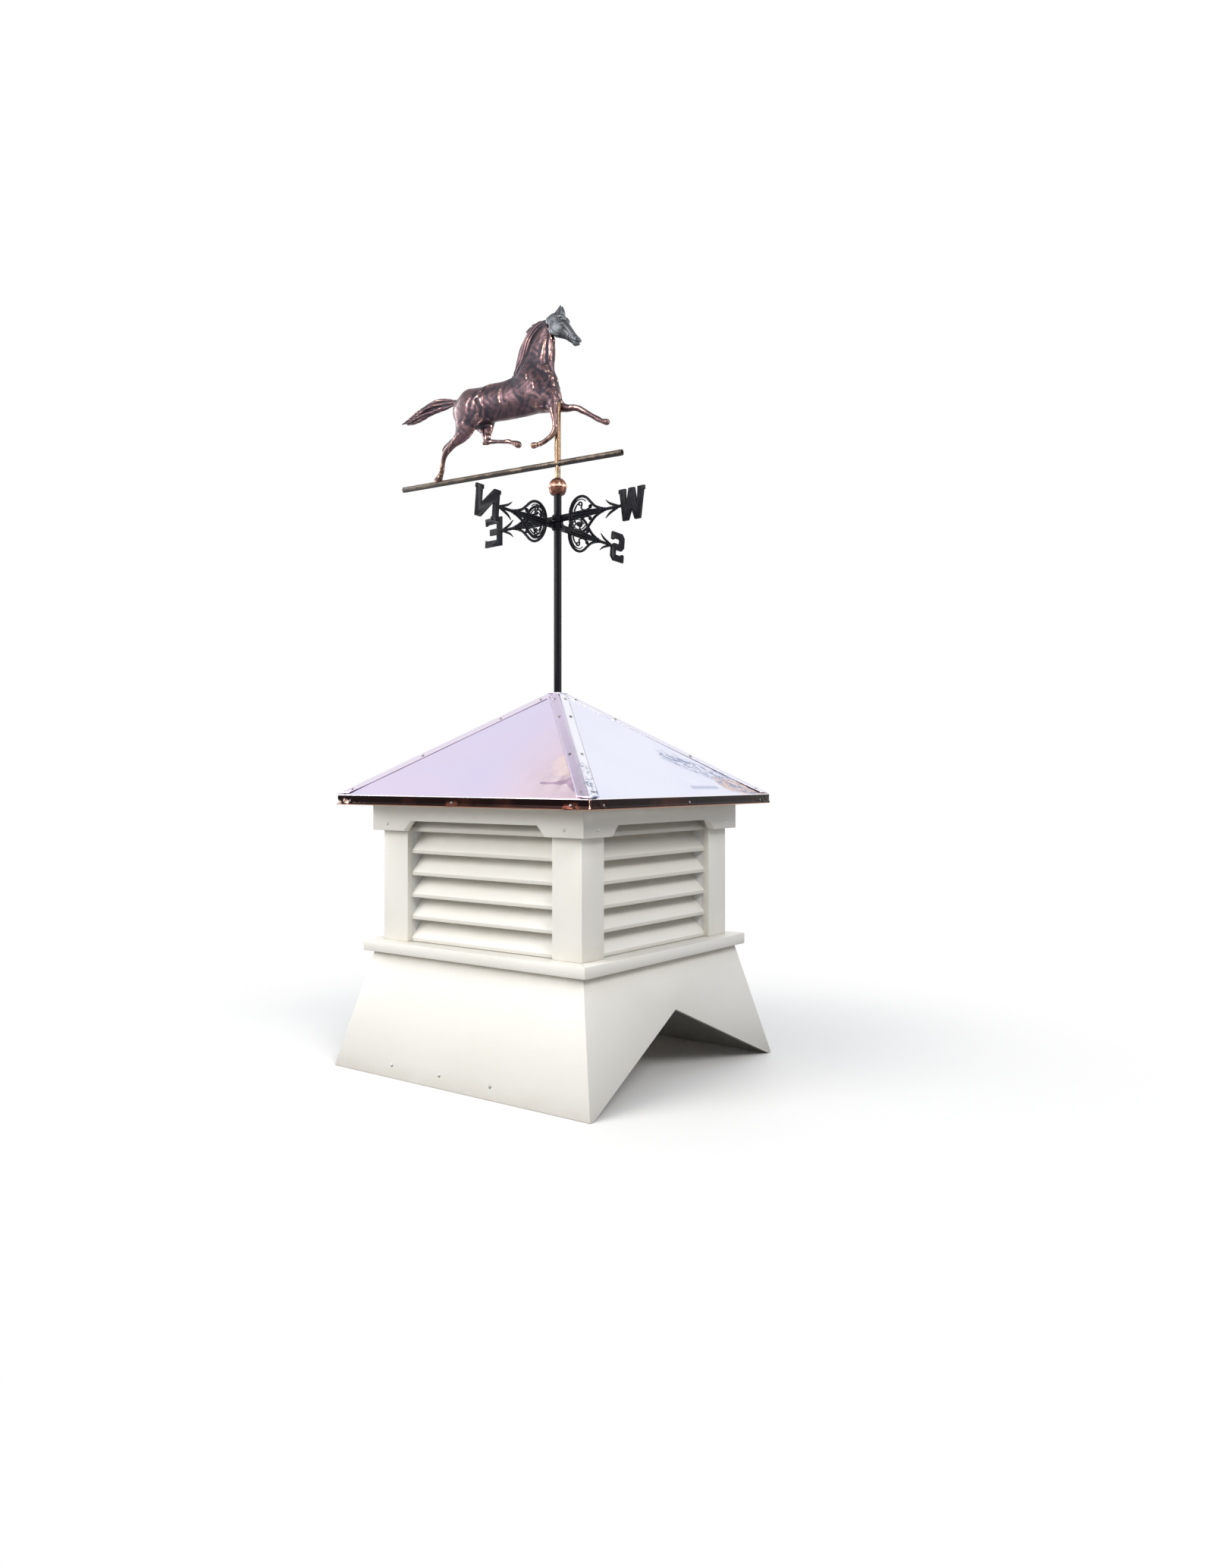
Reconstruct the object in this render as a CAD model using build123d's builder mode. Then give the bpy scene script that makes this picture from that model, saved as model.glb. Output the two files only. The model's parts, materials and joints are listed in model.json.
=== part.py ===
from build123d import *
import os
from math import atan2, cos, radians, sin, sqrt, tan

# Barn cupola with a turning weathervane, in millimetres, +Z up.
# The origin is the middle of the foot, level with its lowest edges.
# The house ridge that the cupola straddles runs along X; the front faces -Y.

# Flared base
base_width = 762.0
base_flare = 67.0
base_height = 274.0
base_board = 12.7
house_slope_deg = 23.8

# Sill band between the base and the posts
sill_overhang = 19.0
sill_thickness = 26.0
sill_board = 76.0

# Corner posts
post_setback = 35.0
post_leg = 80.0
post_board = 19.0
post_height = 330.0

# Louvers
blade_count = 6
blade_pitch = 52.0
blade_lip = 9.5
blade_depth = 50.0
blade_slope_deg = 45.0
blade_recess = 13.0
stile_board = 19.0
stile_depth = 38.0

# Frieze boards under the eave
frieze_board = 19.0
frieze_height = 67.0
frieze_notch_rise = 24.0
frieze_notch_run = 22.0
frieze_foot_lap = 5.0

# Roof
soffit_board = 12.0
soffit_ledge = 68.0
eave_overhang = 61.0
eave_drop = 23.0
eave_over_soffit = 5.0
apex_flat = 30.0
roof_rise = 247.5
copper = 1.2
hem_height = 5.0
deck_board = 12.0
hip_wing = 25.0
apex_plate = 1.5
apex_lap = 2.0

# Pole, ball and spindle
pole_diameter = 19.0
pole_block_width = 120.0
pole_block_height = 90.0
pole_tail = 20.0
fit_gap = 0.15
ball_height = 1403.0
ball_diameter = 47.0
ball_rim_diameter = 51.0
ball_rim_thickness = 2.0
spindle_diameter = 14.0
pin_diameter = 10.0
pin_gap = 0.3
vane_float = 1.0

# Directional castings
compass_turn_deg = -5.8
north_south_tilt_deg = 5.0
hub_joint_height = 1314.5
hub_height = 19.0
hub_diameter = 28.4
boss_diameter = 10.4
boss_reach = 2.8
neck_height = 16.4
casting_thickness = 7.0
web_thickness = 4.4
loop_start = 41.0
loop_tip = 142.0
loop_height = 86.0
loop_stroke = 6.8
rib_spread = 6.6
rib_stroke = 3.8
scroll_stroke = 3.4
scroll_reach = 7.0
shaft_stroke = 8.4
knob_place = 146.5
knob_diameter = 14.4
barb_root = 198.0
barb_tip = 158.0
barb_rise = 22.0
letter_start = 200.0
letter_height = 75.0
letter_stroke = 17.0
letter_slab = 10.0
letter_lip = 3.0
arm_lap = 12.0

# Vane
heading_deg = 4.9
bar_height = 1461.0
bar_diameter = 15.0
bar_wall = 2.0
bar_tail_reach = 495.0
bar_nose_reach = 183.0
tube_diameter = 15.6
tube_top = 150.0
tube_cap = 3.0
horse_scale = 1.0

SIDES = {"front": 0, "right": 90, "back": 180, "left": 270}
CORNERS = {"front_right": 0, "back_right": 90, "back_left": 180, "front_left": 270}

base_half = base_width / 2
base_top_half = base_half - base_flare
sill_half = base_top_half + sill_overhang
body_half = sill_half - post_setback
eave_half = body_half + frieze_board + eave_overhang
sill_top = base_height + sill_thickness
soffit_bottom = sill_top + post_height
soffit_top = soffit_bottom + soffit_board
eave_height = soffit_top + eave_over_soffit
apex_height = eave_height + roof_rise
apex_half = apex_flat / 2
roof_slope = atan2(roof_rise, eave_half - apex_half)

os.makedirs("parts", exist_ok=True)


def keep(part, name):
    part.label = name
    export_step(part, f"parts/{name}.step")


def mitred_board(profile, reach):
    """A board that runs along the front, mitred to its neighbours at both corners."""
    heights = [height for _, height in profile]
    with BuildPart() as board:
        with BuildSketch(Plane.YZ):
            with BuildLine():
                Polyline(*profile, close=True)
            make_face()
        extrude(amount=reach, both=True)
        with BuildSketch(Plane.XY.offset(min(heights))):
            with BuildLine():
                Polyline((0, 0), (reach, -reach), (-reach, -reach), close=True)
            make_face()
        extrude(amount=max(heights) - min(heights), mode=Mode.INTERSECT)
    return board.part


def square_frustum(low_half, low_height, high_half, high_height):
    """A solid square frustum between two heights."""
    with BuildPart() as frustum:
        with BuildSketch(Plane.XY.offset(low_height)):
            Rectangle(2 * low_half, 2 * low_half)
        with BuildSketch(Plane.XY.offset(high_height)):
            Rectangle(2 * high_half, 2 * high_half)
        loft(ruled=True)
    return frustum.part


def turned(part, angle):
    with BuildPart() as placed:
        add(part, rotation=(0, 0, angle))
    return placed.part


def roof_half(height, inset=0.0):
    """Half width of the roof at a height, for a skin that lies inset below the copper's face."""
    return eave_half - (height - eave_height) / tan(roof_slope) - inset / sin(roof_slope)


# Flared base: four sloping boards, two of them cut to straddle the ridge
flare = atan2(base_flare, base_height)
base_lap = base_board / cos(flare)
base_profile = [
    (-base_half, 0),
    (-base_top_half, base_height),
    (-base_top_half + base_lap, base_height),
    (-base_half + base_lap, 0),
]
saddle_half = base_half - base_lap
saddle_rise = saddle_half * tan(radians(house_slope_deg))
plain_base = mitred_board(base_profile, base_half)

with BuildPart() as saddled_base:
    add(plain_base)
    with BuildSketch(Plane.XZ):
        with BuildLine():
            Polyline((-saddle_half, 0), (0, saddle_rise), (saddle_half, 0), close=True)
        make_face()
    extrude(amount=base_half, mode=Mode.SUBTRACT)

for side, angle in SIDES.items():
    board = saddled_base.part if side in ("left", "right") else plain_base
    keep(turned(board, angle), f"base_panel_{side}")

# Sill band
sill_profile = [
    (-sill_half, base_height),
    (-sill_half, sill_top),
    (-sill_half + sill_board, sill_top),
    (-sill_half + sill_board, base_height),
]
sill = mitred_board(sill_profile, sill_half)
for side, angle in SIDES.items():
    keep(turned(sill, angle), f"sill_{side}")

# Corner posts, an L in plan
with BuildPart() as post:
    with BuildSketch(Plane.XY.offset(sill_top)):
        with Locations((body_half, -body_half)):
            Rectangle(post_leg, post_leg, align=(Align.MAX, Align.MIN))
        with Locations((body_half - post_board, -body_half + post_board)):
            Rectangle(post_leg, post_leg, align=(Align.MAX, Align.MIN), mode=Mode.SUBTRACT)
    extrude(amount=post_height)
for corner, angle in CORNERS.items():
    keep(turned(post.part, angle), f"post_{corner}")

# Louvers: sloping blades let into a stile behind each post
opening_half = body_half - post_leg
blade_front = -body_half + blade_recess
blade_back = blade_front + blade_depth
blade_rise = blade_depth * tan(radians(blade_slope_deg))
with BuildPart() as louvers:
    for level in range(blade_count):
        foot = sill_top + level * blade_pitch
        with BuildSketch(Plane.YZ):
            with BuildLine():
                Polyline(
                    (blade_front, foot),
                    (blade_front, foot + blade_lip),
                    (blade_back, foot + blade_lip + blade_rise),
                    (blade_back, foot + blade_rise),
                    close=True,
                )
            make_face()
        extrude(amount=opening_half, both=True)
    with BuildSketch(Plane.XY.offset(sill_top)):
        for edge, align in ((opening_half, Align.MIN), (-opening_half, Align.MAX)):
            with Locations((edge, -body_half + post_board)):
                Rectangle(stile_board, stile_depth, align=(align, Align.MIN))
    extrude(amount=post_height)
for side, angle in SIDES.items():
    keep(turned(louvers.part, angle), f"louvers_{side}")

# Frieze boards, cut away between their feet
frieze_face = body_half + frieze_board
frieze_bottom = soffit_bottom - frieze_height
frieze_profile = [
    (-frieze_face, frieze_bottom),
    (-frieze_face, soffit_bottom),
    (-body_half, soffit_bottom),
    (-body_half, frieze_bottom),
]
notch_foot = opening_half - frieze_foot_lap
notch_head = notch_foot - frieze_notch_run
with BuildPart() as frieze:
    add(mitred_board(frieze_profile, frieze_face))
    with BuildSketch(Plane.XZ):
        with BuildLine():
            Polyline(
                (-notch_foot, frieze_bottom),
                (-notch_head, frieze_bottom + frieze_notch_rise),
                (notch_head, frieze_bottom + frieze_notch_rise),
                (notch_foot, frieze_bottom),
                close=True,
            )
        make_face()
    extrude(amount=frieze_face, mode=Mode.SUBTRACT)
for side, angle in SIDES.items():
    keep(turned(frieze.part, angle), f"frieze_{side}")

# Soffit board ring on the posts
drip_inner_half = eave_half - copper
with BuildPart() as soffit:
    with BuildSketch(Plane.XY.offset(soffit_bottom)):
        Rectangle(2 * drip_inner_half, 2 * drip_inner_half)
        Rectangle(2 * (body_half - soffit_ledge), 2 * (body_half - soffit_ledge), mode=Mode.SUBTRACT)
    extrude(amount=soffit_board)
keep(soffit.part, "soffit")

# Roof boards: four mitred slopes under the copper
deck_top = apex_height - copper / cos(roof_slope)
cavity_top = deck_top - deck_board / cos(roof_slope)
fold_inner = eave_height + copper * tan(roof_slope) - copper / cos(roof_slope)
deck_profile = [
    (-drip_inner_half, soffit_top),
    (-drip_inner_half, fold_inner),
    (-apex_half, deck_top),
    (-apex_half, cavity_top),
    (-roof_half(soffit_top, copper + deck_board), soffit_top),
]
roof_deck = mitred_board(deck_profile, drip_inner_half)
for side, angle in SIDES.items():
    keep(turned(roof_deck, angle), f"roof_deck_{side}")

# Copper roof: four sheets, each folded down over the eave, with its edge hemmed back inside
drip_bottom = eave_height - eave_drop
roof_profile = [
    (-eave_half, drip_bottom),
    (-eave_half, eave_height),
    (-apex_half, apex_height),
    (-apex_half, deck_top),
    (-drip_inner_half, fold_inner),
    (-drip_inner_half, drip_bottom + hem_height),
    (-drip_inner_half + copper, drip_bottom + hem_height),
    (-drip_inner_half + copper, drip_bottom),
]
roof_panel = mitred_board(roof_profile, eave_half)
for side, angle in SIDES.items():
    keep(turned(roof_panel, angle), f"roof_panel_{side}")

# Hip caps, bent strips over the four joints between the sheets
rise_ratio = tan(roof_slope) ** 2
hip_strip_half = hip_wing * sqrt((2 + rise_ratio) / (2 + 2 * rise_ratio))
with BuildPart() as hip_cap:
    add(
        square_frustum(
            roof_half(eave_height, -copper), eave_height, roof_half(apex_height, -copper), apex_height
        )
    )
    add(square_frustum(eave_half, eave_height, apex_half, apex_height), mode=Mode.SUBTRACT)
    with BuildSketch(Plane.XY.offset(eave_height)):
        with Locations(Location((0, 0, 0), (0, 0, -45))):
            Rectangle(4 * eave_half, 2 * hip_strip_half, align=(Align.MIN, Align.CENTER))
    extrude(amount=roof_rise, mode=Mode.INTERSECT)
    with BuildSketch(Plane.XY.offset(eave_height)):
        Rectangle(2 * eave_half, 2 * eave_half, align=(Align.MIN, Align.MAX))
    extrude(amount=roof_rise, mode=Mode.INTERSECT)
for corner, angle in CORNERS.items():
    keep(turned(hip_cap.part, angle), f"hip_cap_{corner}")

# Apex plate round the pole
with BuildPart() as apex_cap:
    with BuildSketch(Plane.XY.offset(apex_height)):
        Rectangle(apex_flat + 2 * apex_lap, apex_flat + 2 * apex_lap)
        Circle(pole_diameter / 2 + fit_gap, mode=Mode.SUBTRACT)
    extrude(amount=apex_plate)
keep(apex_cap.part, "apex_cap")

# Block in the peak that holds the pole, with a tenon up to the apex plate
block_bottom = cavity_top - pole_block_height
with BuildPart() as pole_block:
    with BuildSketch(Plane.XY.offset(block_bottom)):
        Rectangle(pole_block_width, pole_block_width)
    extrude(amount=pole_block_height)
    add(
        square_frustum(roof_half(block_bottom, copper + deck_board), block_bottom, apex_half, cavity_top),
        mode=Mode.INTERSECT,
    )
    with BuildSketch(Plane.XY.offset(cavity_top)):
        Rectangle(apex_flat, apex_flat)
    extrude(amount=apex_height - cavity_top)
    with BuildSketch(Plane.XY.offset(block_bottom)):
        Circle(pole_diameter / 2 + fit_gap)
    extrude(amount=apex_height - block_bottom, mode=Mode.SUBTRACT)
keep(pole_block.part, "pole_block")

# Pole up to the ball
ball_radius = ball_diameter / 2
ball_seat = ball_height - sqrt(ball_radius**2 - (pole_diameter / 2) ** 2)
pole_bottom = block_bottom - pole_tail
with BuildPart() as pole:
    with BuildSketch(Plane.XY.offset(pole_bottom)):
        Circle(pole_diameter / 2)
    extrude(amount=ball_seat - pole_bottom)
keep(pole.part, "pole")

# Copper ball with a rim at its middle, bored for the spindle
with BuildPart() as ball:
    with Locations((0, 0, ball_height)):
        Sphere(ball_radius)
        Cylinder(ball_rim_diameter / 2, ball_rim_thickness)
    with BuildSketch(Plane.XY.offset(ball_seat)):
        Circle(pole_diameter / 2)
    extrude(amount=-ball_diameter, mode=Mode.SUBTRACT)
    with BuildSketch(Plane.XY.offset(ball_seat)):
        Circle(spindle_diameter / 2 + fit_gap)
    extrude(amount=ball_diameter, mode=Mode.SUBTRACT)
keep(ball.part, "ball")

# Spindle through the ball, stepped down to the pin that the vane turns on
spindle_shoulder = bar_height - bar_diameter / 2 - vane_float
pin_top = bar_height + tube_top - tube_cap - vane_float
with BuildPart() as spindle:
    with BuildSketch(Plane.XY.offset(ball_seat)):
        Circle(spindle_diameter / 2)
    extrude(amount=spindle_shoulder - ball_seat)
    with BuildSketch(Plane.XY.offset(spindle_shoulder)):
        Circle(pin_diameter / 2)
    extrude(amount=pin_top - spindle_shoulder)
keep(spindle.part, "spindle")


def letter_outline(letter):
    """Corners of a heavy block letter, from its left foot, centred in height."""
    half, stroke, slab, lip = letter_height / 2, letter_stroke, letter_slab, letter_lip
    if letter == "N":
        width = 0.95 * letter_height
        return [
            (-lip, -half), (stroke + lip, -half), (stroke + lip, slab - half), (stroke, slab - half),
            (stroke, 0.15 * half), (width - stroke, -half), (width, -half), (width, half - slab),
            (width + lip, half - slab), (width + lip, half), (width - stroke - lip, half),
            (width - stroke - lip, half - slab), (width - stroke, half - slab),
            (width - stroke, -0.1 * half), (stroke, half), (-lip, half), (-lip, half - slab),
            (0, half - slab), (0, slab - half), (-lip, slab - half),
        ]
    if letter == "W":
        width, middle = 0.95 * letter_height, 0.475 * letter_height
        return [
            (-lip, half), (-lip, half - slab), (0, half - slab), (0.13 * width, -half),
            (0.36 * width, -half), (middle, -0.3 * half), (0.64 * width, -half), (0.87 * width, -half),
            (width, half - slab), (width + lip, half - slab), (width + lip, half),
            (width - stroke, half), (width - stroke, half - slab), (0.735 * width, -0.2 * half),
            (middle + stroke / 2, half), (middle - stroke / 2, half), (0.265 * width, -0.2 * half),
            (stroke, half - slab), (stroke, half),
        ]
    if letter == "E":
        width, bar = 0.82 * letter_height, 0.22 * letter_height
        return [
            (0, -half), (width, -half), (width, bar - half), (stroke, bar - half), (stroke, -bar / 2),
            (0.7 * width, -bar / 2), (0.7 * width, bar / 2), (stroke, bar / 2), (stroke, half - bar),
            (width, half - bar), (width, half), (0, half),
        ]
    width, bar, corner = 0.65 * letter_height, 0.22 * letter_height, 0.14 * letter_height
    return [
        (0, -half), (width - corner, -half), (width, corner - half), (width, 0),
        (width - corner, bar / 2), (stroke, bar / 2), (stroke, half - bar), (width, half - bar),
        (width, half), (corner, half), (0, half - corner), (0, 0), (corner, -bar / 2),
        (width - stroke, -bar / 2), (width - stroke, bar - half), (0, bar - half),
    ]


def volute(middle, reach, start_deg, turns):
    """Points of a scroll that opens from its eye to a reach round its middle."""
    points = []
    for step in range(7):
        share = step / 6
        angle = radians(start_deg + 360 * turns * share)
        radius = reach * (0.45 + 0.55 * share)
        points.append((middle[0] + radius * cos(angle), middle[1] + radius * sin(angle)))
    return points


# One arm of a directional casting, running out along X: an onion loop with scrolls, ribs, shaft, barbs
loop_half = loop_height / 2
loop_length = loop_tip - loop_start
high_scroll = (loop_start + 0.33 * loop_length, 0.57 * loop_half)
low_scroll = (loop_start + 0.67 * loop_length, 0.34 * loop_half)
rib_middle = loop_start + loop_length / 2
with BuildSketch() as arm:
    with BuildLine():
        Spline(
            (loop_start, 0),
            (loop_start + 0.12 * loop_length, 0.77 * loop_half),
            (loop_start + 0.41 * loop_length, loop_half),
            (loop_start + 0.68 * loop_length, 0.57 * loop_half),
            (loop_tip, 0),
            tangents=[(0, 1), (1, -0.4)],
        )
        mirror(about=Plane.XZ)
    trace(line_width=loop_stroke)
    with BuildLine():
        Spline(
            *volute(high_scroll, scroll_reach, -56, -0.9),
            (high_scroll[0] + 0.05 * loop_length, 0.3 * loop_half),
            ((high_scroll[0] + low_scroll[0]) / 2, rib_spread + 0.03 * loop_half),
            (low_scroll[0], low_scroll[1] - 0.7 * scroll_reach),
            (low_scroll[0] + 0.7 * scroll_reach, low_scroll[1]),
            (low_scroll[0], low_scroll[1] + 0.55 * scroll_reach),
        )
        mirror(about=Plane.XZ)
    trace(line_width=scroll_stroke)
    with BuildLine():
        Line((loop_start, 0), (loop_tip, 0))
        Spline(
            (loop_start, rib_spread),
            (rib_middle, 0.95 * rib_spread),
            (loop_tip, rib_stroke / 2),
        )
        mirror(about=Plane.XZ)
    trace(line_width=rib_stroke)
    with BuildLine():
        barb_middle = (barb_root + barb_tip) / 2
        ThreePointArc((barb_root, 0), (barb_middle, 0.42 * barb_rise), (barb_tip, barb_rise))
        ThreePointArc((barb_tip, barb_rise), (barb_middle - 8, 0.36 * barb_rise), (barb_root - 14, 0))
        mirror(about=Plane.XZ)
    make_face()
    with Locations((loop_tip, 0)):
        Rectangle(letter_start + arm_lap - loop_tip, shaft_stroke, align=(Align.MIN, Align.CENTER))
    Rectangle(loop_start + loop_stroke / 2, neck_height, align=(Align.MIN, Align.CENTER))

with BuildSketch() as web:
    with BuildLine():
        Polyline(
            (loop_start, -rib_spread), (rib_middle, -0.95 * rib_spread), (loop_tip, -rib_stroke / 2),
            (loop_tip, rib_stroke / 2), (rib_middle, 0.95 * rib_spread), (loop_start, rib_spread),
            close=True,
        )
    make_face()

# Two turned knobs, one behind the other, at the tip of the loop
knob_steps = ((knob_place, knob_diameter), (knob_place + 0.55 * knob_diameter, 0.72 * knob_diameter))
with BuildPart() as knobs:
    with BuildSketch(Plane.XZ):
        for place, across in knob_steps:
            with Locations((place, 0)):
                Ellipse(0.31 * across, across / 2)
        with Locations((knob_place, 0)):
            Rectangle(4 * knob_diameter, knob_diameter, align=(Align.CENTER, Align.MAX), mode=Mode.SUBTRACT)
    revolve(axis=Axis.X)


def casting(right_letter, left_letter, tilt_deg):
    """A scrolled casting in the XZ plane, its arms tilted on an upright collar, its right end up."""
    with BuildPart() as arms:
        with BuildSketch(Plane.XZ):
            add(arm.sketch)
            mirror(about=Plane.YZ)
            for letter, outward in ((right_letter, True), (left_letter, False)):
                corners = letter_outline(letter)
                reach = max(across for across, _ in corners)
                start = letter_start if outward else -letter_start - reach
                with BuildLine():
                    Polyline(*[(start + across, up) for across, up in corners], close=True)
                make_face()
        extrude(amount=casting_thickness / 2, both=True)
        with BuildSketch(Plane.XZ):
            add(web.sketch)
            mirror(about=Plane.YZ)
        extrude(amount=web_thickness / 2, both=True)
        add(knobs.part)
        add(knobs.part, rotation=(0, 0, 180))
    with BuildPart() as cast:
        add(arms.part, rotation=(0, -tilt_deg, 0))
        Cylinder(hub_diameter / 2, hub_height)
        Cylinder(boss_diameter / 2, hub_diameter + 2 * boss_reach, rotation=(90, 0, 0))
        Cylinder(pole_diameter / 2 + fit_gap, 2 * loop_height, mode=Mode.SUBTRACT)
    return cast.part


# Directional castings: north and south below, east and west above
castings = {
    "north_south": (casting("N", "S", north_south_tilt_deg), hub_joint_height - hub_height / 2, 270),
    "east_west": (casting("E", "W", 0), hub_joint_height + hub_height / 2, 180),
}
for name, (cast, level, angle) in castings.items():
    with BuildPart() as placed:
        with Locations(Location((0, 0, level), (0, 0, angle + compass_turn_deg))):
            add(cast)
    keep(placed.part, f"directional_{name}")


oval_turns = [radians(step * 45) for step in range(8)]


def body_form(stations):
    """A smooth form through oval stations.

    A station is (distance ahead, height, slope in degrees, half height, half width, offset to the left).
    """
    with BuildPart() as form:
        for slope, station in [(row[2], [horse_scale * value for value in row]) for row in stations]:
            ahead, height, _, half_height, half_width, left = station
            angle = radians(slope)
            section = Plane((ahead, left, height), x_dir=(0, 1, 0), z_dir=(cos(angle), 0, sin(angle)))
            with BuildSketch(section):
                with BuildLine():
                    Spline(
                        *[(half_width * cos(turn), half_height * sin(turn)) for turn in oval_turns],
                        periodic=True,
                    )
                make_face()
        loft()
    return form.part


def on_vane(part):
    """Moves a piece from the vane's own frame, heading along X, to its place above the pole."""
    with BuildPart() as placed:
        with Locations(Location((0, 0, bar_height), (0, 0, heading_deg))):
            add(part)
    return placed.part


# Vane tube on the bar, closed at the top
tube_bore = pin_diameter / 2 + pin_gap
with BuildPart() as vane_tube:
    Cylinder(tube_diameter / 2, tube_top, align=(Align.CENTER, Align.CENTER, Align.MIN))
    Cylinder(tube_bore, tube_top - tube_cap, align=(Align.CENTER, Align.CENTER, Align.MIN),
             mode=Mode.SUBTRACT)
    Cylinder(bar_diameter / 2, 4 * bar_diameter, rotation=(0, 90, 0), mode=Mode.SUBTRACT)
keep(on_vane(vane_tube.part), "vane_tube")

# Bar that the horse runs on
with BuildPart() as vane_bar:
    with BuildSketch(Plane.YZ.offset(-bar_tail_reach)):
        Circle(bar_diameter / 2)
        Circle(bar_diameter / 2 - bar_wall, mode=Mode.SUBTRACT)
    extrude(amount=bar_tail_reach + bar_nose_reach)
    Cylinder(tube_bore, 2 * bar_diameter, mode=Mode.SUBTRACT)
keep(on_vane(vane_bar.part), "vane_bar")

# Running horse: the near hind leg trails and stands on the bar, the far one swings forward
poll = (-23, 336, 21, 24, 15, 0)
dock = (-326, 206, 170, 8, 6, 0)
trunk = body_form([
    (-316, 169, 0, 24, 17, 0),
    (-300, 173, 0, 43, 30, 0),
    (-262, 178, 0, 50, 37, 0),
    (-215, 181, 0, 47, 37, 0),
    (-160, 180, 0, 45, 36, 0),
    (-105, 183, 0, 49, 37, 0),
    (-55, 183, 0, 49, 34, 0),
    (-18, 171, 0, 39, 26, 0),
    (3, 164, 0, 18, 13, 0),
])
neck = body_form([
    (-66, 200, 84, 58, 29, 0),
    (-61, 236, 80, 49, 25, 0),
    (-53, 275, 76, 38, 20, 0),
    (-44, 306, 68, 31, 17, 0),
    poll,
])
mane = body_form([
    (-34, 351, 190, 7, 7, 0),
    (-62, 345, 208, 12, 8, 0),
    (-85, 321, 234, 15, 9, 0),
    (-99, 295, 247, 16, 10, 0),
    (-108, 268, 248, 15, 9, 0),
    (-119, 246, 236, 11, 7, 0),
    (-132, 233, 225, 4, 4, 0),
])
far_foreleg = body_form([
    (-16, 152, -28, 20, 13, 14),
    (8, 141, -20, 12, 10, 16),
    (38, 134, -14, 8.2, 7.5, 16),
    (60, 125, -30, 7.6, 7, 16),
    (84, 110, -34, 6, 5.8, 16),
    (106, 96, -33, 6.6, 6.2, 16),
    (117, 89.5, -26, 5.6, 5.5, 16),
])
far_fore_hoof = body_form([(115, 90, -22, 6.4, 6, 16), (131, 84, -20, 8.6, 8, 16)])
near_foreleg = body_form([
    (-16, 156, -75, 20, 13, -15),
    (-3, 122, -84, 9, 8.5, -17),
    (2, 100, -88, 6.6, 6.5, -17),
    (3, 83, -100, 7.4, 7, -17),
    (-6, 67, -132, 6.8, 6.4, -17),
    (-22, 56.5, -152, 6, 5.8, -17),
    (-44, 50, -170, 6, 5.8, -17),
])
near_fore_hoof = body_form([(-43, 50, -172, 6.6, 6.4, -17), (-60, 49, 180, 8.4, 8, -17)])
near_hind_leg = body_form([
    (-260, 172, -100, 38, 16, -17),
    (-272, 136, -116, 31, 15, -17),
    (-291, 108, -138, 18, 12, -16),
    (-318, 91, -146, 10.5, 9, -13),
    (-341, 76, -134, 9, 7.8, -11),
    (-354, 54, -110, 6, 6, -7),
    (-360, 37, -108, 6.6, 6.4, -4),
    (-367, 23, -120, 6.2, 6.2, -2),
])
near_hind_hoof = body_form([(-366, 25, -118, 7, 7, -2), (-379, 4, -96, 12.5, 10, 0)])
far_thigh = body_form([
    (-258, 174, -64, 34, 16, 16),
    (-240, 141, -64, 24, 14, 18),
    (-232, 117, -80, 14.5, 11.5, 18),
    (-230, 93, -90, 9, 8, 18),
])
far_hind_leg = body_form([
    (-241, 91, 6, 5, 5, 18),
    (-229, 92.5, -2, 7.2, 6.6, 18),
    (-202, 89.5, -8, 4.9, 5, 18),
    (-176, 85.5, -8, 5, 5, 18),
    (-163, 83.5, -14, 6.2, 6, 18),
    (-150, 79, -24, 5.2, 5.2, 18),
])
far_hind_hoof = body_form([(-151, 79.5, -26, 6, 5.8, 18), (-131, 70, -30, 8.8, 8.2, 18)])
dock_stub = body_form([(-294, 198, 165, 12, 10, 0), dock])
horse_forms = (
    trunk, neck, mane, far_foreleg, far_fore_hoof, near_foreleg, near_fore_hoof,
    near_hind_leg, near_hind_hoof, far_thigh, far_hind_leg, far_hind_hoof, dock_stub,
)
with BuildPart() as horse:
    for form in horse_forms:
        add(form)
    Cylinder(tube_diameter / 2 + fit_gap, tube_top, align=(Align.CENTER, Align.CENTER, Align.MIN),
             mode=Mode.SUBTRACT)
    Cylinder(bar_diameter / 2, 3 * bar_tail_reach, rotation=(0, 90, 0), mode=Mode.SUBTRACT)
keep(on_vane(horse.part), "horse_body")

head_form = body_form([
    poll,
    (2, 340, -18, 29, 16.5, 0),
    (18, 327, -40, 22, 14, 0),
    (32, 313, -44, 16.5, 11.5, 0),
    (46, 299, -43, 12.5, 9.8, 0),
    (58, 288, -42, 10, 9, 0),
])
ears = [
    body_form([
        (0, 361, 86, 9, 4.6, side * 8),
        (1, 375, 80, 6.6, 3.4, side * 7.4),
        (4, 388, 74, 1.6, 1.2, side * 6),
    ])
    for side in (-1, 1)
]
with BuildPart() as horse_head:
    add(head_form)
    add(ears)
keep(on_vane(horse_head.part), "horse_head")

horse_tail = body_form([
    dock,
    (-345, 206, 177, 14, 8, 0),
    (-372, 205, 184, 17.5, 10, 0),
    (-402, 202, 191, 20, 11, 0),
    (-432, 194, 199, 18.5, 10.5, 0),
    (-462, 184, 203, 13, 8.5, 0),
    (-488, 178.5, 198, 6.5, 5, 0),
    (-503, 177, 194, 2.5, 2.5, 0),
])
keep(on_vane(horse_tail), "horse_tail")
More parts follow.
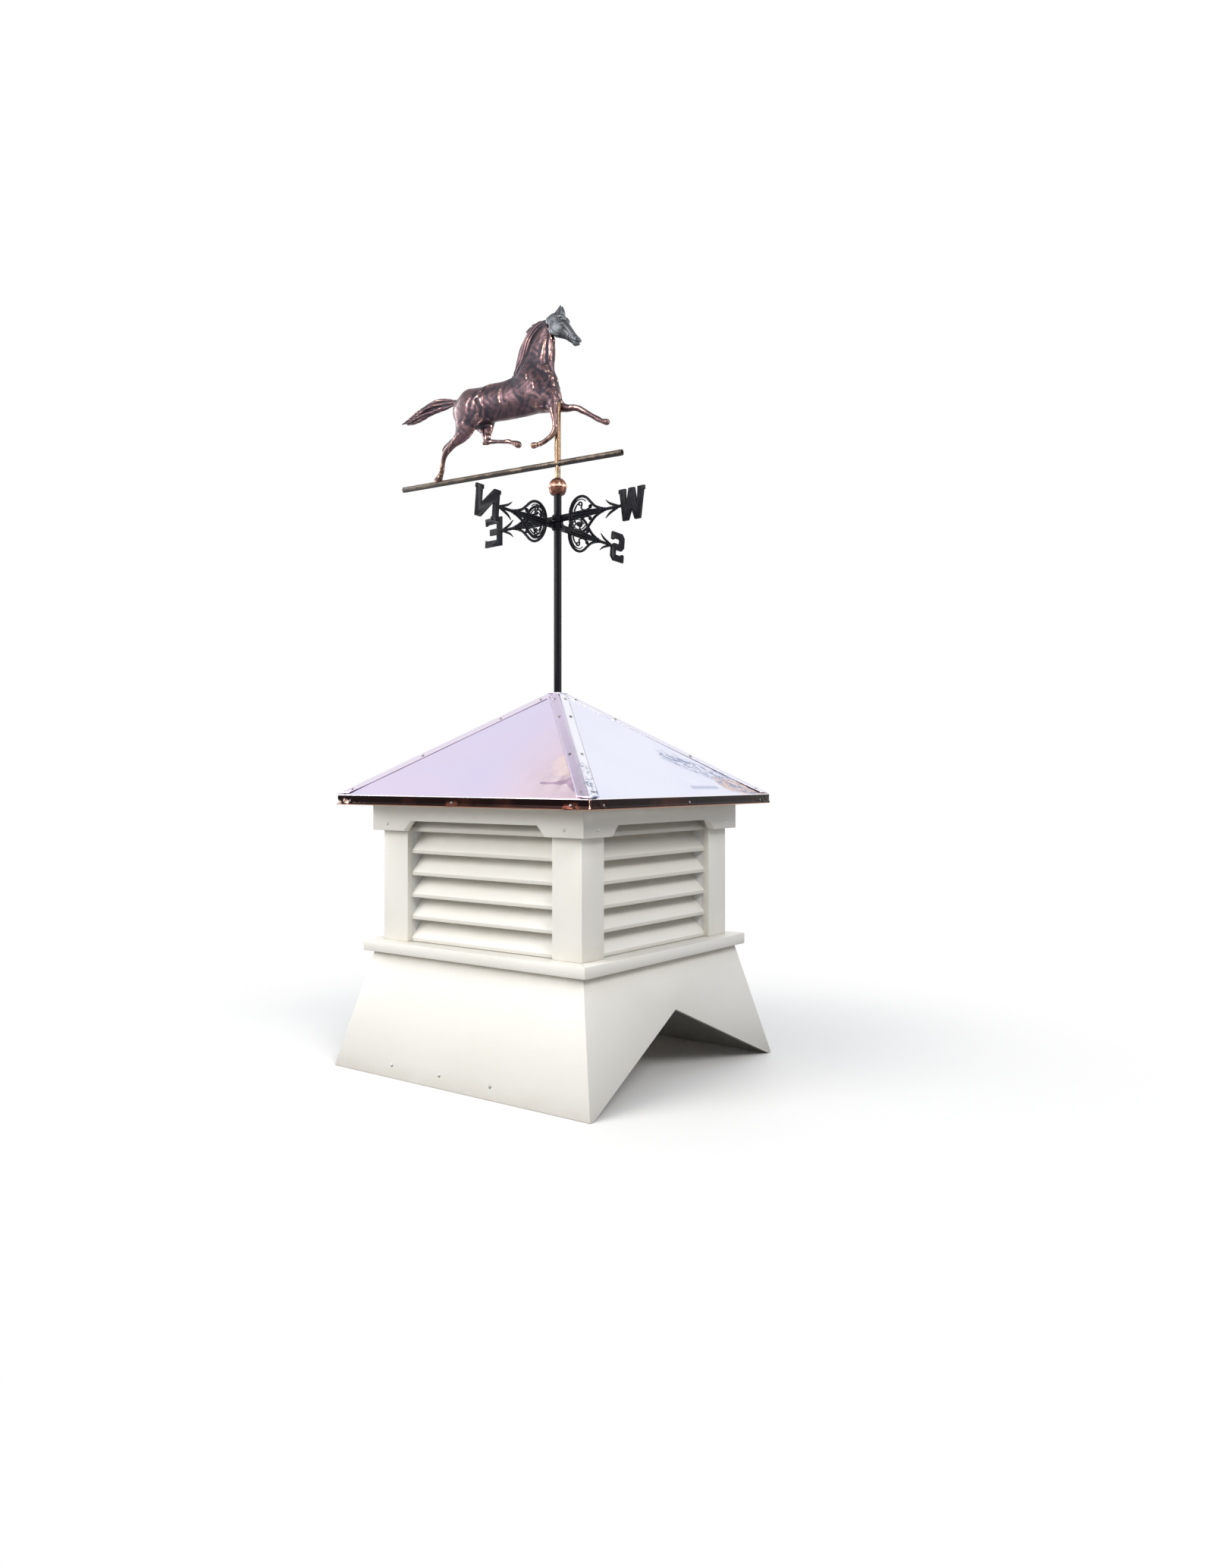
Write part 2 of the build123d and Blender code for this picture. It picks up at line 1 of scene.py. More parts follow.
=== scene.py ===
# %% [markdown]
# A barn cupola dressed for its picture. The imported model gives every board, sheet and casting at its
# real size, in metres, with the ridge along X and the front towards -Y. This script keeps those places
# and adds what a maker's hand and the weather add: eased edges, rivets, rippled copper, scrolled
# castings, and a beaten copper horse in place of its plain forms.

# %% The frame
import bpy
import bmesh
import numpy as np
from math import atan2, cos, pi, radians, sin, tan
from mathutils import Matrix, Vector
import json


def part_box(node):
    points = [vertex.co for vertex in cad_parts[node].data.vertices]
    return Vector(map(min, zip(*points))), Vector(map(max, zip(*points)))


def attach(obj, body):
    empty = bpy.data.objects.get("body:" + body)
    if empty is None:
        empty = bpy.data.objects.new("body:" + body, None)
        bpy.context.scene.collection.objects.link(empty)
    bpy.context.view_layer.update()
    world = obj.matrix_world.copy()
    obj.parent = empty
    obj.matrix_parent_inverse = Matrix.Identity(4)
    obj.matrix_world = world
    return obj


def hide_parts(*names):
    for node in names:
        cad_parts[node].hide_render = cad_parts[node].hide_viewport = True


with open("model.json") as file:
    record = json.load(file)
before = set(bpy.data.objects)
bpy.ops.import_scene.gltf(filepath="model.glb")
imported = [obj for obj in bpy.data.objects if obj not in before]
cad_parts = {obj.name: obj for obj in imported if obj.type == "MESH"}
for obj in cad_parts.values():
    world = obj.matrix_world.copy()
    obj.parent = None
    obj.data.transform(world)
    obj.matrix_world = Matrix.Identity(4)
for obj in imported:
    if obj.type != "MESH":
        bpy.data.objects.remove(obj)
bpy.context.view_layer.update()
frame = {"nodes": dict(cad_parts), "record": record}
nodes = frame["nodes"]
scene = bpy.context.scene
SIDES = {"front": 0, "right": 90, "back": 180, "left": 270}
CORNERS = {"front_right": 0, "back_right": 90, "back_left": 180, "front_left": 270}
print("nodes in the frame:", len(nodes))

# %% [markdown]
# The camera stands where the photograph was taken: right of the front, a little below the eave. The
# photograph is a crop, so its optical axis isn't at its middle, and the lens shift takes that up.

# %% Camera
photo_width, photo_height = 1593, 2068
focal_px, axis_x_px, axis_y_px = 1540.3, 733, 1008
sensor = 36.0

camera_data = bpy.data.cameras.new("photo_camera")
camera_data.sensor_width = sensor
camera_data.lens = focal_px / photo_height * sensor
camera_data.shift_x = (photo_width / 2 - axis_x_px) / photo_height
camera_data.shift_y = (axis_y_px - photo_height / 2) / photo_height
camera = bpy.data.objects.new("photo_camera", camera_data)
camera.location = (1.770, -2.257, 0.701)
camera.rotation_euler = (radians(90.396), 0, radians(38.195))
scene.collection.objects.link(camera)
scene.camera = camera
print("lens", round(camera_data.lens, 2))

# %% [markdown]
# Materials, the world and the repeated pieces are node trees. A few short helpers keep them readable. A
# socket knows its own tree, so most helpers take only the sockets or values that they work on.

# %% Node helpers


def set_inputs(node, inputs):
    """Sets a node's inputs, by name or number, to values or to the sockets that feed them."""
    for name, value in inputs.items():
        socket = node.inputs[name]
        if isinstance(value, bpy.types.NodeSocket):
            node.id_data.links.new(value, socket)
        else:
            socket.default_value = (*value, 1) if socket.type == "RGBA" else value


def put(tree, kind, inputs=None, **settings):
    """Adds a node with its settings and inputs. Shader nodes go by the last part of their kind."""
    node = tree.nodes.new(kind if "Node" in kind else "ShaderNode" + kind)
    for name, value in settings.items():
        setattr(node, name, value)
    set_inputs(node, inputs or {})
    return node


def blend(amount, low, high):
    """Mixes two colours by an amount from 0 to 1."""
    return put(amount.id_data, "Mix", {0: amount, 6: low, 7: high}, data_type="RGBA").outputs[2]


def ramp(value, low, high, start=0.0, end=1.0):
    """Maps a value from low..high to start..end, smoothly and clamped."""
    inputs = {0: value, 1: low, 2: high, 3: start, 4: end}
    return put(value.id_data, "MapRange", inputs, interpolation_type="SMOOTHSTEP").outputs[0]


def combined(operation, first, *others):
    """A sum, product or maximum of several values."""
    for other in others:
        first = put(first.id_data, "Math", {0: first, 1: other}, operation=operation).outputs[0]
    return first


def overlap(*masks):
    return combined("MULTIPLY", *masks)


def inverse(mask):
    return put(mask.id_data, "Math", {0: 1.0, 1: mask}, operation="SUBTRACT").outputs[0]


def place_in(tree):
    return put(tree, "TexCoord").outputs["Object"]


def noise(place, scale, detail, distortion=0.0, roughness=0.5):
    """Cloudy noise from 0 to 1."""
    inputs = {"Vector": place, "Scale": scale, "Detail": detail, "Roughness": roughness,
              "Distortion": distortion}
    return put(place.id_data, "TexNoise", inputs).outputs["Fac"]


def bump(height, strength, distance, under=None):
    """The normal of a bumpy surface, on top of an earlier bump's normal where one is given."""
    inputs = {"Height": height, "Strength": strength, "Distance": distance}
    if under:
        inputs["Normal"] = under
    return put(height.id_data, "Bump", inputs).outputs["Normal"]


def near_segment(place, start, end, full, none):
    """1 within a distance of the line between two points, in metres, falling to 0 at a greater one."""
    tree = place.id_data
    way = Vector(end) - Vector(start)
    offset = put(tree, "VectorMath", {0: place, 1: start}, operation="SUBTRACT").outputs[0]
    share = put(tree, "VectorMath", {0: offset, 1: way / way.length_squared}, operation="DOT_PRODUCT")
    clamped = put(tree, "Math", {0: share.outputs["Value"], 1: 0.0}, operation="ADD", use_clamp=True)
    reached = put(tree, "VectorMath", {0: way, "Scale": clamped.outputs[0]}, operation="SCALE")
    gap = put(tree, "VectorMath", {0: offset, 1: reached.outputs[0]}, operation="DISTANCE")
    return ramp(gap.outputs["Value"], none, full)


def new_material(name, **principled):
    """A material, its tree and its Principled shader with the given constants."""
    material = bpy.data.materials.new(name)
    material.use_nodes = True
    shader = material.node_tree.nodes["Principled BSDF"]
    set_inputs(shader, {socket.replace("_", " "): value for socket, value in principled.items()})
    return material, material.node_tree, shader


def new_group(name, inputs, outputs, kind="ShaderNodeTree"):
    """A node group with named inputs and outputs, given as their names and kinds."""
    group = bpy.data.node_groups.new(name, kind)
    for way, sockets in (("INPUT", inputs), ("OUTPUT", outputs)):
        for label, sort in sockets.items():
            group.interface.new_socket(label, in_out=way, socket_type="NodeSocket" + sort)
    return group, put(group, "NodeGroupInput").outputs, put(group, "NodeGroupOutput")


# %% [markdown]
# Plain studio light, placed like the open sky of an overcast day: a large soft lamp high on the front
# left, weaker ones on the right and behind, and a world that is brighter overhead than at the horizon,
# so that boards under the eave fall into soft shade. What the camera, gloss and glass see of the world
# is white, so that the copper has something bright to reflect. Two narrow strips at the sides light
# nothing, they only give the round and beaten metal its long highlights.

# %% Light
world = bpy.data.worlds.new("studio")
scene.world = world
world.use_nodes = True
sky = world.node_tree
sky.nodes.clear()
rays = put(sky, "LightPath").outputs
seen = combined("MAXIMUM", rays["Is Camera Ray"], rays["Is Glossy Ray"], rays["Is Transmission Ray"])
overhead = put(sky, "SeparateXYZ", {0: put(sky, "TexCoord").outputs["Generated"]}).outputs["Z"]
skylight = ramp(overhead, 0.12, 0.55, 0.06, 0.78)
fill = put(sky, "Background", {"Color": (0.90, 0.94, 1.0), "Strength": skylight})
backdrop = put(sky, "Background", {"Color": (1, 1, 1), "Strength": 1.0})
pick = put(sky, "MixShader", {0: seen, 1: fill.outputs[0], 2: backdrop.outputs[0]})
put(sky, "OutputWorld", {0: pick.outputs[0]})
scene.view_settings.view_transform = "Standard"


def soft_lamp(name, place, aim, size, watts, tint, height=None):
    """An area lamp aimed at a point: round, or a strip where a height is given."""
    lamp_data = bpy.data.lights.new(name, "AREA")
    lamp_data.shape = "RECTANGLE" if height else "DISK"
    lamp_data.size = size
    if height:
        lamp_data.size_y = height
    lamp_data.energy = watts
    lamp_data.color = tint
    lamp = bpy.data.objects.new(name, lamp_data)
    lamp.location = place
    lamp.rotation_euler = (Vector(aim) - Vector(place)).to_track_quat("-Z", "Y").to_euler()
    scene.collection.objects.link(lamp)
    return lamp


soft_lamp("key", (-1.7, -4.4, 3.0), (0, 0, 0.7), 3.6, 180, (1.0, 0.98, 0.95))
soft_lamp("side", (4.0, -2.0, 4.0), (0, 0, 0.6), 2.0, 125, (1.0, 0.97, 0.93))
soft_lamp("rear", (-2.2, 3.6, 3.2), (0, 0, 0.8), 2.0, 36, (0.97, 0.98, 1.0)).visible_glossy = False
for name, place, watts in (("left_strip", (-3.9, -0.6, 2.0), 130), ("right_strip", (3.2, 1.6, 2.2), 80)):
    strip = soft_lamp(name, place, (0, 0, 2.0), 0.5, watts, (1, 1, 1), height=3.4)
    strip.visible_diffuse = False

# %% [markdown]
# The floor fades to plain white a few metres out, so that no horizon shows. The camera sees it pale, but
# it sends as little light up into the eave as the dark shingles of a roof would.

# %% Floor
reach, level = 30.0, -0.0005
floor_mesh = bpy.data.meshes.new("floor")
floor_corners = [(x * reach, y * reach, level) for x, y in ((-1, -1), (1, -1), (1, 1), (-1, 1))]
floor_mesh.from_pydata(floor_corners, [], [(0, 1, 2, 3)])
floor = bpy.data.objects.new("floor", floor_mesh)
scene.collection.objects.link(floor)

fade_start, fade_end = 0.5, 1.6
floor_material, tree, shader = new_material("studio_floor", Roughness=0.9, Specular_IOR_Level=0.1)
rays = put(tree, "LightPath").outputs
set_inputs(shader, {"Base Color": blend(rays["Is Camera Ray"], (0.31, 0.30, 0.29), (0.84, 0.835, 0.825))})
span = put(tree, "VectorMath", {0: place_in(tree)}, operation="LENGTH").outputs["Value"]
seen = combined("MAXIMUM", rays["Is Camera Ray"], rays["Is Glossy Ray"])
glow = put(tree, "Emission", {"Color": (1, 1, 1), "Strength": 1.0})
floor_mix = put(tree, "MixShader", {0: overlap(ramp(span, fade_start, fade_end), seen),
                                    1: shader.outputs[0], 2: glow.outputs[0]})
set_inputs(tree.nodes["Material Output"], {0: floor_mix.outputs[0]})
floor.data.materials.append(floor_material)
print("floor fades from", fade_start, "to", fade_end, "m")

# %% [markdown]
# Outdoor pieces share two effects. The first darkens where surfaces meet and where rain doesn't reach,
# which ambient occlusion finds: a painted shade in a dust tone. Mottle is the faint unevenness of a real
# surface: slow clouds of tone and finer specks. Each is a node group, placed in several materials with its
# own values.

# %% Shared effects
dust_and_corner_shade, given, result = new_group(
    "dust_and_corner_shade", {"Color": "Color", "Dust And Shade": "Color", "Reach": "Float", "Amount": "Float"}, {"Color": "Color"})
# ambient occlusion darkens the corners where shade falls: painted shade in a dust tone
corner = put(dust_and_corner_shade, "AmbientOcclusion", {"Distance": given["Reach"]}, samples=8)
uneven = ramp(noise(place_in(dust_and_corner_shade), 22.0, 5.0), 0.25, 0.7, 0.45, 1.0)
mask = overlap(inverse(corner.outputs["AO"]), uneven, given["Amount"])
set_inputs(result, {"Color": blend(mask, given["Color"], given["Dust And Shade"])})

mottle, given, result = new_group(
    "mottle",
    {"Light": "Color", "Dark": "Color",
     "Cloud Scale": "Float", "Speck Scale": "Float", "Speck Amount": "Float"},
    {"Color": "Color", "Cloud": "Float", "Speck": "Float"})
position = place_in(mottle)
cloud = ramp(noise(position, given["Cloud Scale"], 4.0), 0.3, 0.7)
speck = ramp(noise(position, given["Speck Scale"], 2.0), 0.35, 0.75)
share = combined("ADD", overlap(speck, given["Speck Amount"]), overlap(cloud, 0.8))
set_inputs(result, {"Color": blend(share, given["Light"], given["Dark"]), "Cloud": cloud, "Speck": speck})


def mottled(tree, light, dark, cloud_scale, speck_scale, speck_amount):
    """The outputs of the mottle group, with the given values."""
    values = {"Light": light, "Dark": dark, "Cloud Scale": cloud_scale, "Speck Scale": speck_scale,
              "Speck Amount": speck_amount}
    return put(tree, "Group", values, node_tree=mottle).outputs


def dusted_and_shaded(tone, dust_shade_tone, reach, amount):
    """A tone with painted shade, in a dust tone, in its corners."""
    values = {"Color": tone, "Dust And Shade": dust_shade_tone, "Reach": reach, "Amount": amount}
    return put(tone.id_data, "Group", values, node_tree=dust_and_corner_shade).outputs["Color"]


print("shared effects:", dust_and_corner_shade.name, mottle.name)

# %% [markdown]
# The boards are cellular plastic: satin, very slightly cream, with a fine orange-peel skin from the
# extruder. Their corners under the eave and in the louvers take a painted shade in a dust tone. The
# louvers are a lightened copy of the board, a painted light for their slopes, and their upright lips take
# a painted shade.

# %% White board


def board_material(name, light, dark, dust_shade_amount, upright_shade_tone=None):
    """White board. With an upright shade tone, its upright faces take a painted shade, darker than its
    slopes.
    """
    material, tree, shader = new_material(name, Roughness=0.42, Specular_IOR_Level=0.3,
                                          Coat_Weight=0.06, Coat_Roughness=0.35)
    tone = mottled(tree, light, dark, 5.0, 420.0, 0.12)
    surface_tone = dusted_and_shaded(tone["Color"], (0.50, 0.43, 0.33), 0.045, dust_shade_amount)
    if upright_shade_tone:
        # painted shade on upright faces, as if the light came only from above
        facing = put(tree, "SeparateXYZ", {0: put(tree, "NewGeometry").outputs["Normal"]}).outputs["Z"]
        steepness = put(tree, "Math", {0: facing}, operation="ABSOLUTE").outputs[0]
        surface_tone = blend(ramp(steepness, 0.5, 0.2), surface_tone, upright_shade_tone)
    position = place_in(tree)
    peel = bump(noise(position, 900.0, 2.0), 0.10, 0.0002)
    set_inputs(shader, {
        "Base Color": surface_tone,
        "Normal": bump(noise(position, 9.0, 1.0), 0.25, 0.004, peel),
        "Roughness": ramp(tone["Cloud"], 0, 1, 0.36, 0.48),
    })
    return material


white_board = board_material("white_board", (0.88, 0.865, 0.82), (0.845, 0.825, 0.77), 0.5)
# the louvers' copy is lighter, a painted light for their slopes, with painted shade on their upright lips
brightened_louver_board = board_material("brightened_louver_board", (0.91, 0.895, 0.85), (0.88, 0.86, 0.80), 0.28,
                              (0.72, 0.70, 0.645))

# %% [markdown]
# New copper sheet is close to a mirror. Its colour comes as much from the sky in it as from the metal,
# pale lavender pink here, so the sky is a painted reflection in its colour, different on each slope, with
# painted reflections of trees and a painted highlight along the fold. Where the sheet is strained it breaks
# into small waves. The drip edge looks down at the house and has kept its handling marks, and a painted
# dark reflection of the house makes it a dark red brown, with painted glints at its corners and rivets.

# %% Bright copper
eave_low, eave_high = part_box("roof_panel_front")
eave_half = eave_high.x
apex_half = -eave_high.y
apex_height = eave_high.z
drip_bottom = eave_low.z
eave_drop = 0.023
eave_height = drip_bottom + eave_drop
roof_rise = apex_height - eave_height
roof_ratio = roof_rise / (eave_half - apex_half)
roof_slope = atan2(roof_rise, eave_half - apex_half)

bright_copper, tree, shader = new_material("bright_copper", Metallic=1.0, Roughness=0.16)
position = place_in(tree)
x_part, y_part, z_part = put(tree, "SeparateXYZ", {0: position}).outputs
# 0 on the front and left slopes, 1 on the right and back ones, which take a bluer painted reflection
blue_reflection_side = ramp(combined("ADD", x_part, y_part), -0.012, 0.012)
slow_cloud = ramp(noise(position, 3.2, 2.0, 0.6), 0.35, 0.65)
# painted sky reflections: pink on the front and left slopes, blue on the others
pink_sky_reflection = blend(slow_cloud, (0.72, 0.655, 0.87), (0.75, 0.66, 0.85))
pink_sky_reflection = blend(ramp(x_part, 0.02, 0.27), pink_sky_reflection, (0.83, 0.665, 0.765))
blue_sky_reflection = blend(slow_cloud, (0.79, 0.81, 0.96), (0.84, 0.85, 0.985))
# the hip caps take a painted sky reflection of their own, as they face the sky at other angles
on_cap = put(tree, "Attribute", attribute_name="hip_cap").outputs["Fac"]
on_sheet = inverse(on_cap)
cap_pink_reflection = blend(ramp(x_part, -0.012, 0.012), (0.81, 0.73, 0.86), (0.64, 0.55, 0.72))
cap_blue_reflection = blend(ramp(y_part, -0.012, 0.012), (0.90, 0.91, 0.99), (0.80, 0.79, 0.90))
tone = blend(on_cap, blend(blue_reflection_side, pink_sky_reflection, blue_sky_reflection), blend(blue_reflection_side, cap_pink_reflection, cap_blue_reflection))

# strokes that run down the slope beside the hips: painted reflections of the trees in the rippled sheet
hip_along, hip_across = (0.636, 0.636, -0.434), (-0.525, 0.770, 0.358)
along_hip, across_hip = (
    put(tree, "VectorMath", {0: position, 1: way}, operation="DOT_PRODUCT").outputs["Value"]
    for way in (hip_along, hip_across))
stroke_place = put(tree, "CombineXYZ", {0: overlap(along_hip, 30.0), 1: overlap(across_hip, 105.0)})
strokes = noise(stroke_place.outputs[0], 1.0, 4.0, 1.4, 0.65)
upper_tree_reflection = near_segment(position, (0.245, 0.118, 0.738), (0.335, 0.262, 0.677), 0.016, 0.044)
lower_tree_reflection = near_segment(position, (0.340, 0.225, 0.673), (0.376, 0.372, 0.648), 0.018, 0.042)
long_reflection_streak = near_segment(position, (0.350, 0.060, 0.667), (0.352, 0.165, 0.666), 0.001, 0.011)
strain = overlap(combined("MAXIMUM", upper_tree_reflection, lower_tree_reflection), on_sheet)

# the near cap's right wing was beaten down into small facets, and painted grey-blue reflections break it into
# bright and grey
facet_reflection = ramp(noise(position, 95.0, 4.0, 1.2), 0.51, 0.60)
near_cap = near_segment(position, (0.285, -0.268, 0.712), (0.375, -0.362, 0.650), 0.012, 0.030)

# the dent beside it: a painted pale reflection on its raised part, and a painted mauve reflection in the dip
# below, which runs out to a point
dent_pale_reflection = near_segment(position, (0.222, -0.262, 0.727), (0.262, -0.312, 0.694), 0.010, 0.034)
dent_mauve_reflection = combined(
    "MAXIMUM",
    near_segment(position, (0.216, -0.331, 0.679), (0.270, -0.333, 0.678), 0.0035, 0.0055),
    near_segment(position, (0.262, -0.331, 0.679), (0.292, -0.322, 0.685), 0.006, 0.009),
    near_segment(position, (0.285, -0.322, 0.685), (0.322, -0.346, 0.668), 0.010, 0.013))

# painted reflections and painted highlights laid over the sheet's tone
for mask, tint in (
    (overlap(long_reflection_streak, on_sheet), (0.50, 0.53, 0.72)),
    (overlap(lower_tree_reflection, on_sheet), (0.93, 0.74, 0.70)),
    (overlap(ramp(strokes, 0.49, 0.56), strain), (0.20, 0.26, 0.45)),
    (overlap(ramp(strokes, 0.47, 0.40), lower_tree_reflection, on_sheet), (0.33, 0.15, 0.11)),
    (overlap(near_cap, on_cap, blue_reflection_side, facet_reflection), (0.20, 0.25, 0.38)),
    (overlap(dent_pale_reflection, ramp(z_part, 0.692, 0.697), on_sheet), (0.94, 0.76, 0.77)),
    (overlap(dent_mauve_reflection, on_sheet, inverse(blue_reflection_side)), (0.55, 0.40, 0.54)),
):
    tone = blend(mask, tone, tint)

# a painted dark reflection on the drip edge and everything that faces sideways near it
upright = ramp(z_part, eave_height - 0.0002, eave_height - 0.0018)
edge_cloud = ramp(noise(position, 14.0, 3.0), 0.45, 0.8)
drip_reflection_tone = blend(edge_cloud, (0.012, 0.006, 0.006), (0.050, 0.017, 0.012))
# a painted highlight along the hem
drip_reflection_tone = blend(ramp(z_part, drip_bottom + 0.0026, drip_bottom + 0.0016), drip_reflection_tone, (0.44, 0.24, 0.17))
edge_out = -eave_half - 0.001
# painted glints at the corners, and painted reddish reflections round the rivets
for start, end, reach, tint in (
    ((eave_half, edge_out, drip_bottom + 0.003), (eave_half, edge_out, eave_height - 0.002), 0.0030,
     (0.80, 0.52, 0.42)),
    ((-0.375, edge_out, 0.631), (-0.366, edge_out, 0.628), 0.0075, (0.96, 0.76, 0.66)),
    ((-0.350, edge_out, 0.634), (-0.338, edge_out, 0.630), 0.0070, (0.92, 0.66, 0.54)),
    ((0.316, edge_out, 0.629), (0.344, edge_out, 0.632), 0.0100, (0.10, 0.034, 0.024)),
    ((-0.012, edge_out, 0.630), (0.012, edge_out, 0.632), 0.0080, (0.13, 0.046, 0.030)),
):
    glint = near_segment(position, start, end, 0.3 * reach, reach)
    drip_reflection_tone = blend(overlap(glint, ramp(strokes, 0.35, 0.52)), drip_reflection_tone, tint)
tone = blend(upright, tone, drip_reflection_tone)
# a painted highlight along the fold itself, a thin bright line where it catches the sky
fold = overlap(ramp(z_part, eave_height - 0.0014, eave_height - 0.0004),
               ramp(z_part, eave_height + 0.0012, eave_height + 0.0004))
tone = blend(fold, tone, (0.97, 0.92, 0.94))
# the caps end just above the fold, and a painted shadow draws a dark line under them
for x, y in ((0.355, -0.3765), (0.3765, -0.355)):
    slit_shadow = near_segment(position, (x, y, eave_height + 0.0010), (0.3775, -0.3775, eave_height + 0.0008),
                        0.0010, 0.0022)
    tone = blend(overlap(slit_shadow, on_sheet), tone, (0.02, 0.012, 0.012))
ripple = bump(noise(position, 26.0, 2.0, 0.4), 0.12, 0.004)
# painted shade in the copper's corners and creases, in a dark copper tone
set_inputs(shader, {
    "Base Color": dusted_and_shaded(tone, (0.20, 0.09, 0.07), 0.004, 0.7),
    "Roughness": ramp(combined("MAXIMUM", upright, strain), 0, 1, 0.20, 0.14),
    "Normal": bump(overlap(strokes, strain), 0.3, 0.003, ripple),
})
print("roof slope", round(roof_slope * 180 / pi, 1), "degrees")

# %% [markdown]
# The pole and the castings are iron under black paint. The pole was sprayed, so it is glossy and
# smooth. The castings keep the grain of the sand they were poured in, and their black is mottled with a
# faint cold blue.

# %% Black paint


def black_paint(name, light, cloud_scale, speck_scale, speck_amount, strength, distance, **principled):
    """Black paint on iron, with a grain of the given strength and depth."""
    material, tree, shader = new_material(name, **principled)
    tone = mottled(tree, light, (0.004, 0.004, 0.006), cloud_scale, speck_scale, speck_amount)
    set_inputs(shader, {"Base Color": tone["Color"], "Normal": bump(tone["Speck"], strength, distance)})
    return material


black_pole = black_paint("black_pole", (0.008, 0.008, 0.012), 18.0, 500.0, 0.3, 0.05, 0.0003,
                         Roughness=0.3, Specular_IOR_Level=0.0, Coat_Weight=0.26, Coat_Roughness=0.04)
black_casting = black_paint("black_casting", (0.009, 0.010, 0.017), 30.0, 380.0, 0.5, 0.35, 0.0006,
                            Roughness=0.32, Specular_IOR_Level=0.05, Coat_Weight=0.09, Coat_Roughness=0.16)

# %% [markdown]
# The horse is antique copper: the beaten sheet was darkened to a purple brown, then rubbed back, so the
# high places shine pink and the hollows stay dark. The script stores how high each point stands above
# its surroundings, with a painted highlight on faces that look up, in an attribute called
# relief_and_light, and this material reads it. On the ball and the bar that attribute holds painted
# highlights and painted shade alone. Pieces without that attribute read zero there and take an even tone.

# %% Aged copper, brass and grey metal


def rubbed_metal(name, dark, middle, bright, roughness, cloud_scale=26.0, feet=None):
    """Darkened metal, rubbed bright where relief is high. Feet is the height below which it turns brown."""
    material, tree, shader = new_material(name, Metallic=1.0, Roughness=roughness)
    # relief_and_light: real relief and wear, with painted light on the horse, the ball and the bar
    relief_and_light = put(tree, "Attribute", attribute_name="relief_and_light").outputs["Fac"]
    position = place_in(tree)
    patina = noise(position, cloud_scale, 6.0, 0.5, 0.6)
    fine = noise(position, cloud_scale * 9, 3.0)
    worn = combined("ADD", relief_and_light, ramp(patina, 0.35, 0.68, -0.38, 0.30), ramp(fine, 0.3, 0.7, -0.10, 0.10))
    tone = blend(ramp(worn, -0.65, 0.05), dark, middle)
    tone = blend(ramp(worn, 0.25, 1.0), tone, bright)
    if feet:
        height = put(tree, "SeparateXYZ", {0: position}).outputs["Z"]
        brown = blend(ramp(worn, -0.3, 0.6), (0.050, 0.030, 0.024), (0.36, 0.235, 0.165))
        tone = blend(ramp(height, feet + 0.025, feet - 0.035, 0.0, 0.75), tone, brown)
    set_inputs(shader, {
        "Base Color": tone,
        "Roughness": ramp(worn, -0.4, 0.7, roughness + 0.14, roughness - 0.12),
        "Metallic": ramp(worn, -0.8, 0.0, 0.55, 1.0),
        "Normal": bump(fine, 0.18, 0.0005, bump(patina, 0.22, 0.0022)),
    })
    return material


aged_copper = rubbed_metal("aged_copper", (0.026, 0.020, 0.030), (0.118, 0.074, 0.082),
                           (0.68, 0.42, 0.35), 0.31, 17.0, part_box("vane_bar")[1].z + 0.07)
rim_copper = rubbed_metal("rim_copper", (0.040, 0.014, 0.010), (0.21, 0.088, 0.060), (0.95, 0.72, 0.58), 0.26)
tube_copper = rubbed_metal("tube_copper", (0.07, 0.045, 0.03), (0.23, 0.150, 0.095), (0.80, 0.60, 0.42), 0.24)
aged_brass = rubbed_metal("aged_brass", (0.035, 0.030, 0.027), (0.13, 0.105, 0.085), (0.66, 0.53, 0.36), 0.34)
grey_casting = rubbed_metal("grey_casting", (0.030, 0.032, 0.036), (0.120, 0.128, 0.142),
                            (0.30, 0.32, 0.36), 0.42, 40.0)
bright_steel = rubbed_metal("bright_steel", (0.12, 0.09, 0.06), (0.30, 0.22, 0.15), (0.85, 0.72, 0.58), 0.22)
rivet_metal = rubbed_metal("rivet_metal", (0.06, 0.05, 0.05), (0.26, 0.24, 0.25), (0.75, 0.73, 0.72), 0.3)
screw_metal = rubbed_metal("screw_metal", (0.16, 0.15, 0.14), (0.42, 0.40, 0.37), (0.70, 0.68, 0.64), 0.45)

# %% [markdown]
# Inside the roof and round the pole's block the boards are plain sheathing, seen only from underneath:
# pale wood with its grain drawn out along X.

# %% Sheathing wood
sheathing_wood, tree, shader = new_material("sheathing_wood", Roughness=0.75)
long_way = put(tree, "Mapping", {"Vector": place_in(tree), "Scale": (2.0, 26.0, 26.0)}).outputs[0]
grain = noise(long_way, 5.0, 6.0, 0.3)
set_inputs(shader, {"Base Color": blend(ramp(grain, 0.3, 0.7), (0.62, 0.43, 0.25), (0.40, 0.24, 0.12)),
                    "Normal": bump(grain, 0.3, 0.0006)})

finishes = {
    "white_board": white_board, "bright_copper": bright_copper, "sheathing_wood": sheathing_wood,
    "black_pole": black_pole, "black_casting": black_casting, "aged_copper": aged_copper,
    "aged_brass": aged_brass, "grey_casting": grey_casting, "bright_steel": bright_steel,
}
for subpart in frame["record"]["subparts"]:
    cad_mesh = nodes[subpart["node"]].data
    cad_mesh.materials.clear()
    cad_mesh.materials.append(finishes[subpart["material_slot"]])
nodes["vane_tube"].data.materials[0] = tube_copper
print("finishes:", ", ".join(finishes))

